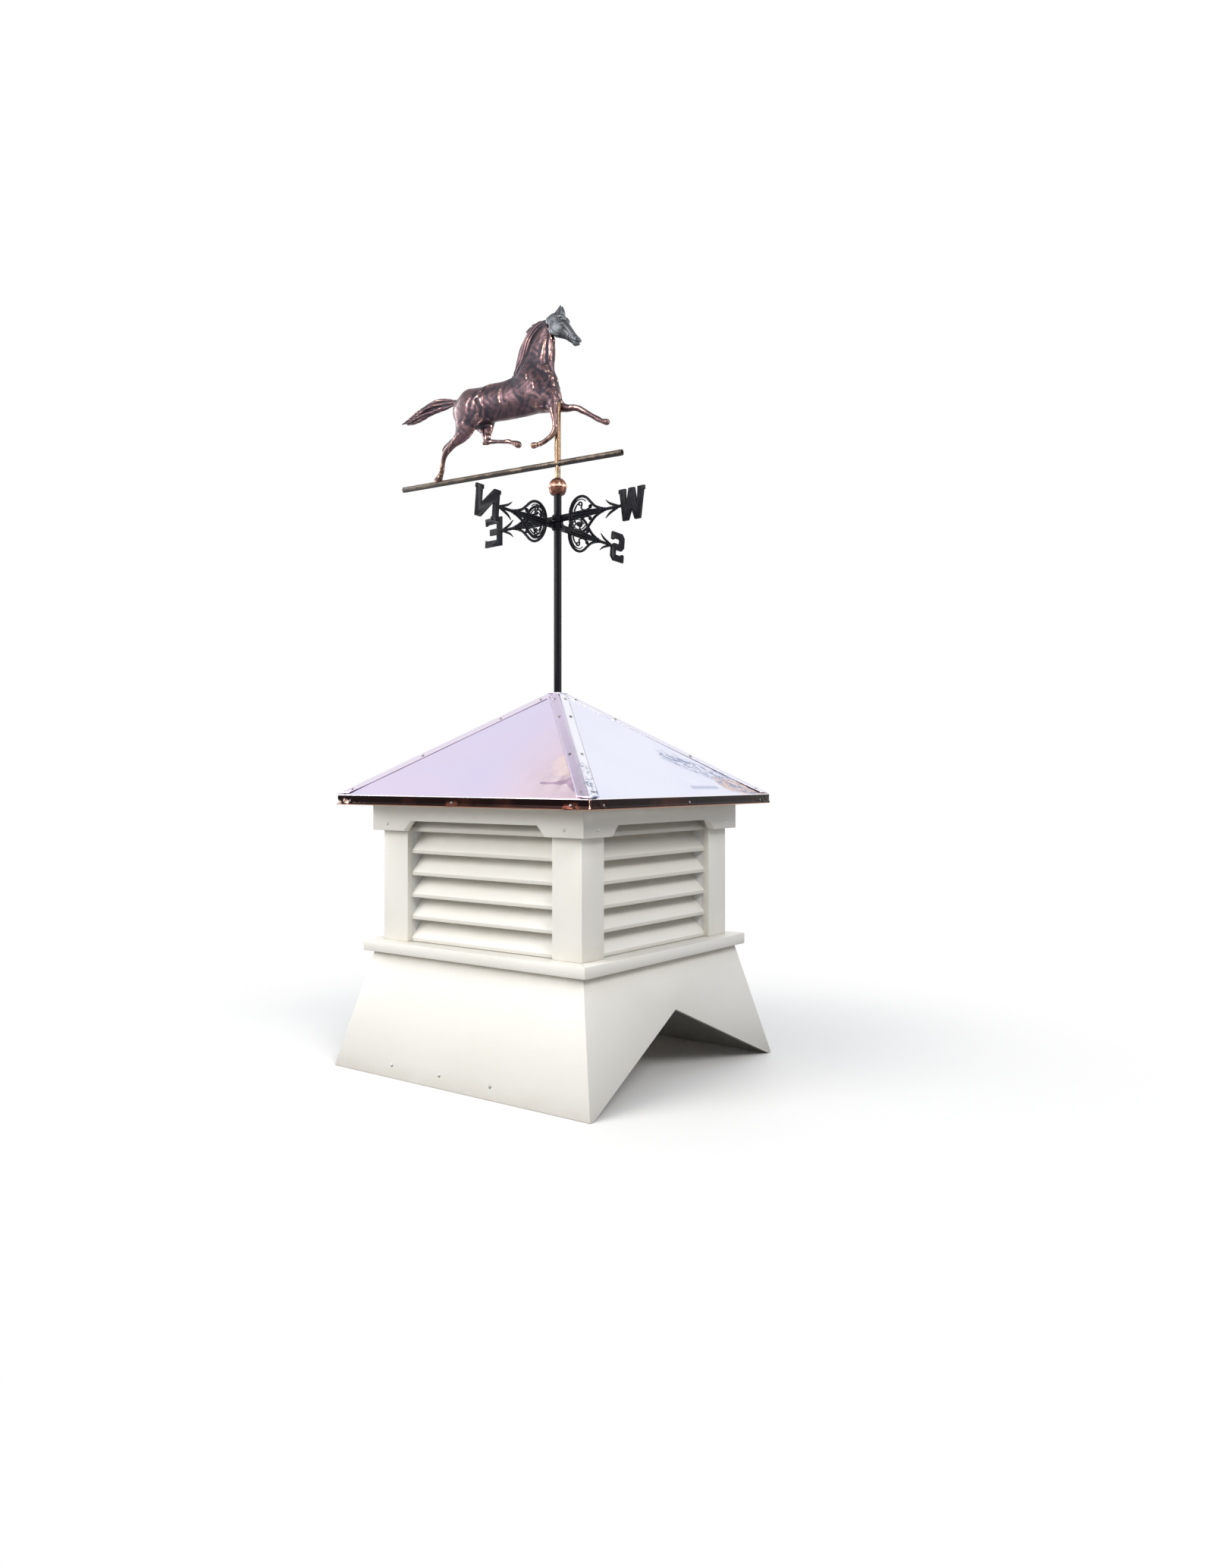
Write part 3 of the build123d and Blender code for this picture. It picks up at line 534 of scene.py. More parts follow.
# %% [markdown]
# A saw leaves a board with sharp arrises, and handling and sanding ease them. The CAD boards are exact
# blocks, so each is copied, its triangles are joined back into flat faces, and a narrow bevel rounds
# every edge. Where two boards meet at a mitre, the two bevels make the fine V that shows on the real
# joint.

# %% Boards with eased edges


def into_scene(name, mesh, body, slot, *stands_for):
    """Adds a finished mesh as a piece that rides on a body. The slot is not used."""
    piece = bpy.data.objects.new(name, mesh)
    scene.collection.objects.link(piece)
    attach(piece, body)
    if stands_for:
        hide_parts(*stands_for)
    return piece


def opened(mesh):
    """A mesh as an editable shape."""
    shape = bmesh.new()
    shape.from_mesh(mesh)
    return shape


def closed(shape, mesh="part"):
    """An editable shape as a mesh: an existing one, or a new one of that name."""
    mesh = bpy.data.meshes.new(mesh) if isinstance(mesh, str) else mesh
    shape.to_mesh(mesh)
    shape.free()
    return mesh


def plain_mesh(name, points, faces, material=None):
    """A smooth mesh from plain lists."""
    mesh = bpy.data.meshes.new(name)
    mesh.from_pydata(points, [], faces)
    if material:
        mesh.materials.append(material)
    mesh.shade_smooth()
    return mesh


def set_values(mesh, name, values):
    """Stores a number for every point of a mesh."""
    mesh.attributes.new(name, "FLOAT", "POINT").data.foreach_set("value", values)


def bevel(shape, edges, width, segments=2, profile=0.5):
    bmesh.ops.bevel(shape, geom=list(edges), offset=width, segments=segments, profile=profile,
                    affect="EDGES", clamp_overlap=True)


def smooth_by_angle(mesh, degrees=32):
    mesh.shade_smooth()
    shape = opened(mesh)
    for edge in shape.edges:
        if len(edge.link_faces) == 2:
            edge.smooth = edge.calc_face_angle(0) < radians(degrees)
    return closed(shape, mesh)


def turned(mesh, angle):
    """Turns a mesh about the pole, by degrees."""
    mesh.transform(Matrix.Rotation(radians(angle), 4, "Z"))
    return mesh


def sharp_edges(edges, degrees):
    """The edges where the surface turns by more than so many degrees."""
    return [edge for edge in edges
            if len(edge.link_faces) == 2 and edge.calc_face_angle(0) > radians(degrees)]


def eased(node, width, material=white_board):
    """A copy of a CAD node's mesh with its flat faces whole and its edges rounded."""
    mesh = nodes[node].data.copy()
    shape = opened(mesh)
    bmesh.ops.remove_doubles(shape, verts=shape.verts, dist=0.00002)
    bmesh.ops.dissolve_limit(shape, angle_limit=radians(1), verts=shape.verts, edges=shape.edges)
    bevel(shape, sharp_edges(shape.edges, 25), width)
    mesh.materials.clear()
    mesh.materials.append(material)
    return smooth_by_angle(closed(shape, mesh))


board_widths = {f"{board}_{side}": width for side in SIDES
                for board, width in (("base_panel", 0.0012), ("sill", 0.0016), ("frieze", 0.0012))}
board_widths |= {f"post_{corner}": 0.0014 for corner in CORNERS} | {"soffit": 0.0010}
for node, width in board_widths.items():
    into_scene(f"{node}_board", eased(node, width), "cupola", "white_board", node)
print("boards eased:", len(board_widths))

# %% [markdown]
# The louvers are one blade repeated up each opening, so a Geometry Nodes tree makes them: it sets copies
# of the blade one pitch apart. The blade's lip is rounded over where it was planed, and its ends run
# into a stile behind each post.

# %% Louver tree


def run_tree(mesh, tree, values):
    """Runs a tree on a mesh and returns the result as a plain mesh."""
    holder = bpy.data.objects.new("holder", mesh)
    scene.collection.objects.link(holder)
    modifier = holder.modifiers.new(tree.name, "NODES")
    modifier.node_group = tree
    names = {item.name: item.identifier for item in tree.interface.items_tree if item.in_out == "INPUT"}
    for label, value in values.items():
        modifier[names[label]] = value
    bpy.context.view_layer.update()
    solved = holder.evaluated_get(bpy.context.evaluated_depsgraph_get())
    made = bpy.data.meshes.new_from_object(solved)
    bpy.data.objects.remove(holder)
    return made


def copying_tree(name, inputs):
    """A tree that starts and ends with a mesh, and has the named inputs given."""
    mesh = {"Geometry": "Geometry"}
    return new_group(name, mesh | inputs, mesh, "GeometryNodeTree")


def made_real(tree, points, instance, rotation=(0, 0, 0)):
    """Stands a copy of an instance on every point, as plain geometry."""
    copies = put(tree, "GeometryNodeInstanceOnPoints", {
        "Points": points, "Instance": instance, "Rotation": rotation})
    return put(tree, "GeometryNodeRealizeInstances", {0: copies.outputs[0]}).outputs[0]


def painted(tree, geometry, finish):
    return put(tree, "GeometryNodeSetMaterial", {"Geometry": geometry, "Material": finish}).outputs[0]


louver_tree, given, result = copying_tree(
    "louver_bank", {"Count": "Int", "Pitch": "Float", "Finish": "Material"})
rise = put(louver_tree, "CombineXYZ", {"Z": given["Pitch"]})
ladder = put(louver_tree, "GeometryNodeMeshLine", {"Count": given["Count"], "Offset": rise.outputs[0]})
blades = made_real(louver_tree, ladder.outputs[0], given["Geometry"])
set_inputs(result, {"Geometry": painted(louver_tree, blades, given["Finish"])})

# %% Louvers
bank_low, bank_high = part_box("louvers_front")
opening_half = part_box("post_front_right")[0].x
blade_count = 6
blade_pitch = 0.052
blade_lip = 0.0095
lip_round = 0.0022
stile_inset = 0.006
stile_front, stile_back = bank_low.y + stile_inset, bank_high.y - stile_inset


def block(shape, low, high):
    """A box between two corners, in a bmesh."""
    middle = [(a + b) / 2 for a, b in zip(low, high)]
    size = [b - a for a, b in zip(low, high)]
    bmesh.ops.create_cube(shape, size=1, matrix=Matrix.LocRotScale(middle, None, size))


def blade_mesh():
    """The lowest blade: a sloping strip with a rounded front lip."""
    depth = bank_high.y - bank_low.y
    shape = bmesh.new()
    profile = [(bank_low.y, bank_low.z), (bank_low.y, bank_low.z + blade_lip),
               (bank_high.y, bank_low.z + blade_lip + depth), (bank_high.y, bank_low.z + depth)]
    ends = [[shape.verts.new((x, y, z)) for y, z in profile] for x in (-opening_half, opening_half)]
    for first in range(4):
        second = (first + 1) % 4
        shape.faces.new((ends[0][first], ends[0][second], ends[1][second], ends[1][first]))
    shape.faces.new(ends[0][::-1])
    shape.faces.new(ends[1])
    bmesh.ops.recalc_face_normals(shape, faces=shape.faces)
    lip = [edge for edge in shape.edges if all(abs(v.co.y - bank_low.y) < 1e-6 for v in edge.verts)
           and abs(edge.verts[0].co.x - edge.verts[1].co.x) > opening_half]
    bevel(shape, lip, lip_round, 4)
    return smooth_by_angle(closed(shape))


bank = run_tree(blade_mesh(), louver_tree,
                {"Count": blade_count, "Pitch": blade_pitch, "Finish": brightened_louver_board})
shape = opened(bank)
for inner, outer in ((opening_half, bank_high.x), (-bank_high.x, -opening_half)):
    block(shape, (inner, stile_front, bank_low.z), (outer, stile_back, bank_high.z))
closed(shape, bank)
for side, angle in SIDES.items():
    into_scene(f"louver_bank_{side}", turned(bank.copy(), angle), "cupola", "white_board", f"louvers_{side}")
print("louver banks:", len(SIDES), "with", blade_count, "blades each")

# %% [markdown]
# Each slope of the roof is one thin copper sheet, folded over the eave and hemmed at its lower edge. A
# fold in sheet metal has a radius, and a big flat sheet is never quite flat, so the sheet is modelled as
# a fine grid that follows the folded profile from the hem to the apex. Slow waves run through it, and it
# is dented near the front hip where the photograph shows a crease.

# %% Copper sheets
hem_height = 0.0055
hem_proud = 0.0011
hem_round = 0.0012
fold_radius = 0.0030
sheet_thickness = 0.0007
columns = 132
slope_rows = 84
dent_place = Vector((0.272, -0.330, 0.680))
dent_depth = 0.0009


def fold_profile():
    """Points (distance out from the pole, height) from inside the hem, over the fold, to the apex."""
    back = eave_half - hem_round
    hem_top = drip_bottom + hem_height
    points = [(back, hem_top + 0.001), (back, drip_bottom + hem_round)]
    centre = (back + eave_half + hem_proud) / 2
    half = (eave_half + hem_proud - back) / 2
    for step in range(5):
        turn = pi + step * pi / 4
        points.append((centre + half * cos(turn), drip_bottom + hem_round + hem_round * sin(turn)))
    points += [(eave_half + hem_proud, hem_top), (eave_half + 0.4 * hem_proud, hem_top + 0.0006),
               (eave_half, hem_top + 0.0010)]
    for share in (0.25, 0.5, 0.75):
        points.append((eave_half, hem_top + share * (eave_drop - hem_height - fold_radius)))
    tangent = fold_radius * tan((pi / 2 - roof_slope) / 2)
    for step in range(6):
        turn = step / 5 * (pi / 2 - roof_slope)
        points.append((eave_half - fold_radius + fold_radius * cos(turn),
                       eave_height - tangent + fold_radius * sin(turn)))
    foot = np.array(points[-1])
    for row in range(1, slope_rows + 1):
        points.append(tuple(foot + row / slope_rows * (np.array((apex_half, apex_height)) - foot)))
    return points


def slope_wave(x, out, z):
    """Slow unevenness of a sheet, in metres, worked out from a few crossing waves."""
    slow = np.sin(9.0 * x + 4.0 * out + 1.0) * np.sin(11.0 * z + 2.5 * x)
    quick = np.sin(31.0 * x - 12.0 * out) * np.sin(43.0 * out + 9.0 * x)
    return 0.00035 * slow + 0.00012 * quick


def grid_faces(rows, count):
    """The faces between rows of points."""
    return [(first, first + 1, first + count + 1, first + count)
            for row in range(rows - 1) for first in range(row * count, row * count + count - 1)]


def copper_sheet(side, angle):
    profile = np.array(fold_profile())
    across = np.linspace(-1, 1, columns + 1)
    out = np.repeat(profile[:, 0:1], columns + 1, 1)
    up = np.repeat(profile[:, 1:2], columns + 1, 1)
    x = across[None, :] * out
    on_slope = np.clip((up - eave_height) / 0.012, 0, 1)
    edge = np.clip((1 - np.abs(across))[None, :] * out / 0.03, 0, 1)
    lift = slope_wave(x + angle, out, up) * on_slope * edge
    if side == "front":
        far = np.sqrt(((x - dent_place.x) / 0.060) ** 2 + ((-out - dent_place.y) / 0.022) ** 2)
        lift += dent_depth * np.exp(-far**2) * np.sin(130 * x) * on_slope
    if side == "right":
        corner_near = np.exp(-(((x - 0.25) / 0.14) ** 2 + ((up - 0.672) / 0.035) ** 2)) * on_slope
        lift += 0.00045 * corner_near * np.sin(160 * x + 90 * out) * np.sin(210 * out - 60 * x)
    # the drip edge is knocked out of true near its ends
    on_drip = np.clip((eave_height - 0.004 - up) / 0.004, 0, 1)
    knock = np.exp(-(((np.abs(x) - 0.335) / 0.016) ** 2)) * on_drip
    out_face = out + lift * sin(roof_slope) + 0.0010 * knock * np.sin(300 * up + 240 * x)
    grid = np.stack([x, -out_face, up + lift * cos(roof_slope)], -1).reshape(-1, 3)
    faces = grid_faces(len(profile), columns + 1)
    return turned(plain_mesh(f"copper_sheet_{side}", grid.tolist(), faces, bright_copper), angle)


def thicken(piece, thickness):
    wall = piece.modifiers.new("thickness", "SOLIDIFY")
    wall.thickness = thickness
    wall.offset = -1


for side, angle in SIDES.items():
    name = f"copper_sheet_{side}"
    sheet = into_scene(name, copper_sheet(side, angle), "cupola", "bright_copper", f"roof_panel_{side}")
    thicken(sheet, sheet_thickness)
print("sheet faces each:", len(sheet.data.polygons))

# %% [markdown]
# A bent strip covers each hip: two wings, one on each sheet, and a rounded ridge between them. The
# wings are cut level with the eave, a little above the fold, and spring up there, which leaves the narrow
# gap that the photograph shows at the corner; its darkness is a painted shadow on the sheet.

# %% Hip caps
wing = 0.025
ridge_radius = 0.0035
cap_lift = 0.0012
cap_thickness = 0.0008
cap_rows = 60
hip_in_sheet = atan2(1 / cos(roof_slope), 1)
front_normal = Vector((0, -sin(roof_slope), cos(roof_slope)))
right_normal = Vector((sin(roof_slope), 0, cos(roof_slope)))


def across_hip_line(point):
    """The same place on the other side of the front right hip."""
    return Vector((-point.y, -point.x, point.z))


def hip_cap_mesh():
    """The cap on the front right hip, as rows of points across from the front wing to the right one."""
    low, high = eave_height + 0.0025, apex_height
    verts = []
    for row in range(cap_rows + 1):
        height = low + row / cap_rows * (high - low)
        half = eave_half - (height - eave_height) / roof_ratio
        reach = min(wing / sin(hip_in_sheet), half)
        spring = cap_lift + 0.0016 * max(0.0, 1 - (height - low) / 0.035) ** 2
        flat = [reach * part for part in (1.0, 0.82, 0.62, 0.42, 0.25)]
        ridge = [ridge_radius * part / sin(hip_in_sheet) for part in (1.0, 0.62, 0.28)]
        outline = []
        for offset in flat + ridge:
            edge_lift = spring if offset > 0.5 * reach else cap_lift
            outline.append(Vector((half - offset, -half, height)) + front_normal * edge_lift)
        top = Vector((half, -half, height)) + (front_normal + right_normal).normalized() * cap_lift * 0.9
        verts += [*outline, top, *map(across_hip_line, reversed(outline))]
    faces = grid_faces(cap_rows + 1, len(verts) // (cap_rows + 1))
    mesh = plain_mesh("hip_cap", verts, faces, bright_copper)
    set_values(mesh, "hip_cap", [1.0] * len(verts))
    return mesh


for corner, angle in CORNERS.items():
    mesh = turned(hip_cap_mesh(), angle)
    strip = into_scene(f"hip_strip_{corner}", mesh, "cupola", "bright_copper", f"hip_cap_{corner}")
    thicken(strip, cap_thickness)
into_scene("apex_plate", eased("apex_cap", 0.0006, bright_copper), "cupola", "bright_copper", "apex_cap")
print("hip strips:", len(CORNERS))

# %% [markdown]
# Blind rivets hold the hip caps and the drip edge, and small screws hold the frieze and the base. They
# repeat, so one Geometry Nodes tree sets them: it takes a mesh of bare points, each with the direction
# it faces, and stands a domed head on every point. Sizes come in as named inputs.

# %% Fastener tree
fastener_tree, given, result = copying_tree(
    "fastener_heads", {"Head Radius": "Float", "Head Height": "Float", "Finish": "Material"})
head_size = {"X": given["Head Radius"], "Y": given["Head Radius"], "Z": given["Head Height"]}
size = put(fastener_tree, "CombineXYZ", head_size).outputs[0]
flange_share = (1.25, 1.25, 0.5)
flange_size = put(fastener_tree, "VectorMath", {0: size, 1: flange_share}, operation="MULTIPLY").outputs[0]
dome = put(fastener_tree, "GeometryNodeMeshUVSphere", {"Segments": 16, "Rings": 8, "Radius": 1.0})
flange = put(fastener_tree, "GeometryNodeMeshCylinder", {"Vertices": 20, "Radius": 1.0, "Depth": 1.0})
both = put(fastener_tree, "GeometryNodeJoinGeometry")
for part, scale in ((flange, flange_size), (dome, size)):
    scaled = put(fastener_tree, "GeometryNodeTransform", {"Geometry": part.outputs["Mesh"], "Scale": scale})
    set_inputs(both, {0: scaled.outputs[0]})
facing = put(fastener_tree, "GeometryNodeInputNamedAttribute", data_type="FLOAT_VECTOR")
set_inputs(facing, {"Name": "facing"})
upright = put(fastener_tree, "FunctionNodeAlignRotationToVector", {"Vector": facing.outputs[0]}, axis="Z")
heads = made_real(fastener_tree, given["Geometry"], both.outputs[0], upright.outputs[0])
smooth = put(fastener_tree, "GeometryNodeSetShadeSmooth", {"Geometry": heads})
set_inputs(result, {"Geometry": painted(fastener_tree, smooth.outputs[0], given["Finish"])})


def fasteners(name, spots, radius, height, finish, slot):
    """Sets a head on every spot, a pair of place and facing direction."""
    mesh = plain_mesh(name, [place for place, _ in spots], [])
    directions = mesh.attributes.new("facing", "FLOAT_VECTOR", "POINT")
    directions.data.foreach_set("vector", [part for _, way in spots for part in way])
    made = run_tree(mesh, fastener_tree, {"Head Radius": radius, "Head Height": height, "Finish": finish})
    into_scene(name, made, "cupola", slot)
    print(name, len(spots))


# %% Rivets and screws
rivet_offset = 0.0145 / sin(hip_in_sheet)
hip_rivet_halves = (0.040, 0.109, 0.242, 0.360)
rivet_sink = 0.0004
hip_spots = []
for angle in CORNERS.values():
    spin = Matrix.Rotation(radians(angle), 3, "Z")
    for half in hip_rivet_halves:
        height = eave_height + (eave_half - half) * roof_ratio
        place = Vector((half - rivet_offset, -half, height)) + front_normal * (cap_lift + rivet_sink)
        hip_spots.append((spin @ place, spin @ front_normal))
        hip_spots.append((spin @ across_hip_line(place), spin @ right_normal))

base_low, base_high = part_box("base_panel_front")
flare_run = 0.067
base_flare = atan2(flare_run, base_high.z)
screw_height = 0.027
screw_out = base_low.y + screw_height * tan(base_flare)
outwards = Vector((0, -1, 0))
flared_out = Vector((0, -cos(base_flare), sin(base_flare)))


def rows_of_spots(sides, places_x, y, z, facing):
    """The same row of spots on each of the sides."""
    spins = [Matrix.Rotation(radians(SIDES[side]), 3, "Z") for side in sides]
    return [(spin @ Vector((x, y, z)), spin @ facing) for spin in spins for x in places_x]


drip_spots = rows_of_spots(SIDES, (-0.330, 0.0, 0.330), -eave_half - 0.0002, drip_bottom + 0.0095, outwards)
frieze_spots = rows_of_spots(SIDES, (-0.266, 0.266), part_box("frieze_front")[0].y, 0.5785, outwards)
base_spots = rows_of_spots(("front", "back"), (-0.191, -0.041, 0.109), screw_out, screw_height, flared_out)
fasteners("hip_rivets", hip_spots, 0.0030, 0.0020, rivet_metal, "bright_copper")
fasteners("drip_rivets", drip_spots, 0.0026, 0.0018, rivet_metal, "bright_copper")
fasteners("frieze_screws", frieze_spots, 0.0026, 0.0010, screw_metal, "white_board")
fasteners("base_screws", base_spots, 0.0030, 0.0012, screw_metal, "white_board")

# %% [markdown]
# The mast carries a ball of two spun copper cups, soldered at a rim, and a bright steel spindle. Such
# parts are turned: one outline of radius and height, spun about the pole's axis, gives the whole form,
# and the outline holds the small steps and fillets that catch the light.

# %% Turned ball
pole_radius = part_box("pole")[1].x
ball_height = (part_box("ball")[0].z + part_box("ball")[1].z) / 2
ball_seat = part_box("pole")[1].z
cup_radius, rim_radius, rim_half = 0.0217, 0.0254, 0.0012
upper_rise, lower_drop = 0.0212, ball_height - ball_seat
turn_steps, cup_rows = 64, 14


def circle(steps):
    """Points of a circle of radius 1."""
    return [(cos(2 * pi * step / steps), sin(2 * pi * step / steps)) for step in range(steps)]


def joined_rings(rings):
    """The faces between closed rings of points, or of their numbers."""
    faces = []
    for first, second in zip(rings, rings[1:]):
        for step in range(len(first)):
            after = (step + 1) % len(first)
            faces.append((first[step], first[after], second[after], second[step]))
    return faces


def ball_painted_light(z):
    """Painted light on the ball: a painted highlight on the rim, painted shade on the seam under it, and the
    upper cup painted lighter than the lower.
    """
    above = z - ball_height
    if abs(above) < 1.2 * rim_half:
        return 1.0
    if above < 0:
        return -0.95 + 0.45 * min(1.0, -above / 0.006)
    return -0.25 + 0.75 * min(1.0, above / 0.009)


foot_radius, foot_height = pole_radius + 0.0015, ball_seat + 0.0006
outline = [(pole_radius + 0.0006, ball_seat)]
for step in range(cup_rows + 1):
    turn = step / cup_rows * pi / 2
    outline.append((foot_radius + (cup_radius - foot_radius) * sin(turn) ** 0.86,
                    foot_height + (lower_drop - 0.0006 - rim_half) * (1 - cos(turn) ** 0.92)))
for worn, share in ((0.0004, -1), (0, -0.4), (0, 0.4), (0.0004, 1)):
    outline.append((rim_radius - worn, ball_height + share * rim_half))
for step in range(17):
    turn = radians(71 * step / 16)
    outline.append((cup_radius * cos(turn), ball_height + rim_half + upper_rise * sin(turn)))
verts = [(radius * x, radius * y, height) for radius, height in outline for x, y in circle(turn_steps)]
rings = [range(first, first + turn_steps) for first in range(0, len(verts), turn_steps)]
faces = joined_rings(rings) + [tuple(reversed(rings[0])), tuple(rings[-1])]
ball = plain_mesh("copper_ball", verts, faces, rim_copper)
# the ball's relief_and_light holds only painted light
set_values(ball, "relief_and_light", [ball_painted_light(z) for _, _, z in verts])
into_scene("copper_ball", smooth_by_angle(ball), "cupola", "aged_copper", "ball")
print("ball rings:", len(rings))

# %% [markdown]
# The two directional pieces are iron castings: a collar that slides on the pole, a flat neck, an onion
# shaped loop with scrolls inside it, a shaft with two barbs, and a letter at each end. Cast bars are
# round or oval, never square, so each is swept: an oval section is carried along a smooth path in the
# plane of the casting, and it tapers where the path gives it less width.

# %% Bars for the castings


def smooth_path(points, steps=8):
    """A smooth path through points, by Catmull-Rom spans. A point may carry more values than two."""
    points = np.array(points, dtype=float)
    padded = np.vstack([2 * points[0] - points[1], points, 2 * points[-1] - points[-2]])
    path = []
    for index in range(1, len(padded) - 2):
        a, b, c, d = padded[index - 1:index + 3]
        for t in np.linspace(0, 1, steps, endpoint=False):
            path.append(0.5 * (2 * b + (c - a) * t + (2 * a - 5 * b + 4 * c - d) * t**2
                               + (3 * b - a - 3 * c + d) * t**3))
    path.append(padded[-2])
    return np.array(path)


def flat_bar(shape, points, half_width, half_depth, steps=8, sides=10):
    """Sweeps an oval bar along (x, z) points into a bmesh. A third value scales the bar at its point."""
    path = smooth_path([(*point, 1.0)[:3] for point in points], steps)
    ahead = np.gradient(path[:, :2], axis=0)
    ahead /= np.linalg.norm(ahead, axis=1)[:, None]
    rings = []
    for (x, z, scale), (dx, dz) in zip(path, ahead):
        wide, deep = half_width * scale, half_depth * min(1.0, 0.35 + 0.65 * scale)
        rings.append([shape.verts.new((x - dz * wide * across, deep * out, z + dx * wide * across))
                      for across, out in circle(sides)])
    for corners in (*joined_rings(rings), rings[0], rings[-1][::-1]):
        shape.faces.new(corners)


def volute(centre, radius, start, turns):
    """Points of a spiral that opens from its eye. Start is in degrees, and turns may be negative."""
    count = max(6, int(abs(turns) * 12))
    points = []
    for step in range(count + 1):
        angle = radians(start) + 2 * pi * turns * step / count
        reach = radius * (0.25 + 0.75 * step / count)
        points.append((centre[0] + reach * cos(angle), centre[1] + reach * sin(angle)))
    return points


# %% Letters
letter_height = 0.075
letter_start = 0.200
letter_depth = 0.0068
stroke = 0.017


def letter_corners(letter):
    """Corners of a heavy block letter, from its left side, centred in height."""
    half = letter_height / 2
    slab, lip = 0.010, 0.003
    if letter == "N":
        width = 0.071
        return [
            (-lip, -half), (stroke + lip, -half), (stroke + lip, -half + slab), (stroke, -half + slab),
            (stroke, 0.0056), (width - stroke, -half), (width, -half), (width, half - slab),
            (width + lip, half - slab), (width + lip, half), (width - stroke - lip, half),
            (width - stroke - lip, half - slab), (width - stroke, half - slab), (width - stroke, -0.0038),
            (stroke, half), (-lip, half), (-lip, half - slab), (0, half - slab),
            (0, -half + slab), (-lip, -half + slab),
        ]
    if letter == "E":
        width, arm = 0.0612, 0.0165
        return [
            (0, -half), (width, -half), (width - 0.002, -half + arm + 0.003), (width - 0.010, -half + arm),
            (stroke, -half + arm), (stroke, -arm / 2), (0.70 * width, -arm / 2), (0.70 * width, arm / 2),
            (stroke, arm / 2), (stroke, half - arm), (width - 0.011, half - arm),
            (width - 0.003, half - arm - 0.003), (width - 0.001, half), (0, half),
        ]
    if letter == "W":
        width = 0.071
        return [
            (-lip, half), (-lip, half - slab), (0, half - slab), (0.0093, -half), (0.0256, -half),
            (0.0356, -0.0112), (0.0456, -half), (0.0618, -half), (width, half - slab),
            (width + lip, half - slab), (width + lip, half), (width - stroke, half),
            (width - stroke, half - slab), (0.0522, -0.0075), (0.0441, half), (0.0271, half),
            (0.0188, -0.0075), (stroke, half - slab), (stroke, half),
        ]
    width, bar = 0.0486, 0.0165
    return [
        (0, -half), (width - 0.010, -half), (width, -half + 0.0105), (width, -0.001),
        (width - 0.009, bar / 2), (stroke, bar / 2), (stroke, half - bar), (width - 0.013, half - bar),
        (width - 0.007, half - bar - 0.005), (width, half - bar - 0.003), (width - 0.001, half),
        (0.009, half), (0, half - 0.0105), (0, 0.001), (0.009, -bar / 2), (width - stroke, -bar / 2),
        (width - stroke, -half + bar), (0.013, -half + bar), (0.007, -half + bar + 0.005),
        (0, -half + bar + 0.003),
    ]


def add_mesh(shape, part):
    """Adds one editable shape to another."""
    mesh = closed(part)
    shape.from_mesh(mesh)
    bpy.data.meshes.remove(mesh)


def add_letter(shape, letter, outward):
    """Adds a letter plate with worn edges beyond the end of an arm. Outward is 1 or -1."""
    corners = letter_corners(letter)
    reach = max(x for x, _ in corners)
    start = letter_start if outward > 0 else -letter_start - reach
    plate = bmesh.new()
    face = plate.faces.new([plate.verts.new((start + x, -letter_depth / 2, z)) for x, z in corners])
    body = bmesh.ops.extrude_face_region(plate, geom=[face])
    back = [item for item in body["geom"] if isinstance(item, bmesh.types.BMVert)]
    bmesh.ops.translate(plate, verts=back, vec=(0, letter_depth, 0))
    bmesh.ops.recalc_face_normals(plate, faces=plate.faces)
    bevel(plate, plate.edges, 0.0010, profile=0.6)
    add_mesh(shape, plate)


# %% Scrolled castings
loop_start, loop_tip = 0.041, 0.142
loop_half = 0.043
loop_side = [
    (loop_start, 0.000), (loop_start + 0.0025, 0.018), (0.052, 0.0325), (0.066, 0.0415), (0.082, loop_half),
    (0.097, 0.0365), (0.110, 0.0245), (0.124, 0.0125), (loop_tip, 0.0045),
]
inner_side = [(0.0485, 0.009), (0.0515, 0.020), (0.060, 0.0312), (0.071, 0.0360), (0.083, 0.0355),
              (0.093, 0.0293)]
scroll_link = [(0.0790, 0.0135), (0.090, 0.0085), (0.1015, 0.0095)]
scroll_leaf = [(0.056, 0.0100), (0.0605, 0.0190, 1.0), (0.068, 0.0270, 0.6)]
bar_levels = (-0.0062, 0.0, 0.0062)
barb = [(0.196, 0.0015), (0.184, 0.0060, 1.0), (0.170, 0.0120, 0.9), (0.158, 0.0215, 0.25)]
collar_radius, collar_height = 0.0142, 0.019
compass_turn = -5.8
north_south_tilt = 5.0


def on_side(points, way):
    """A path above the shaft, or the same path below it."""
    return [(x, way * z, *scale) for x, z, *scale in points]


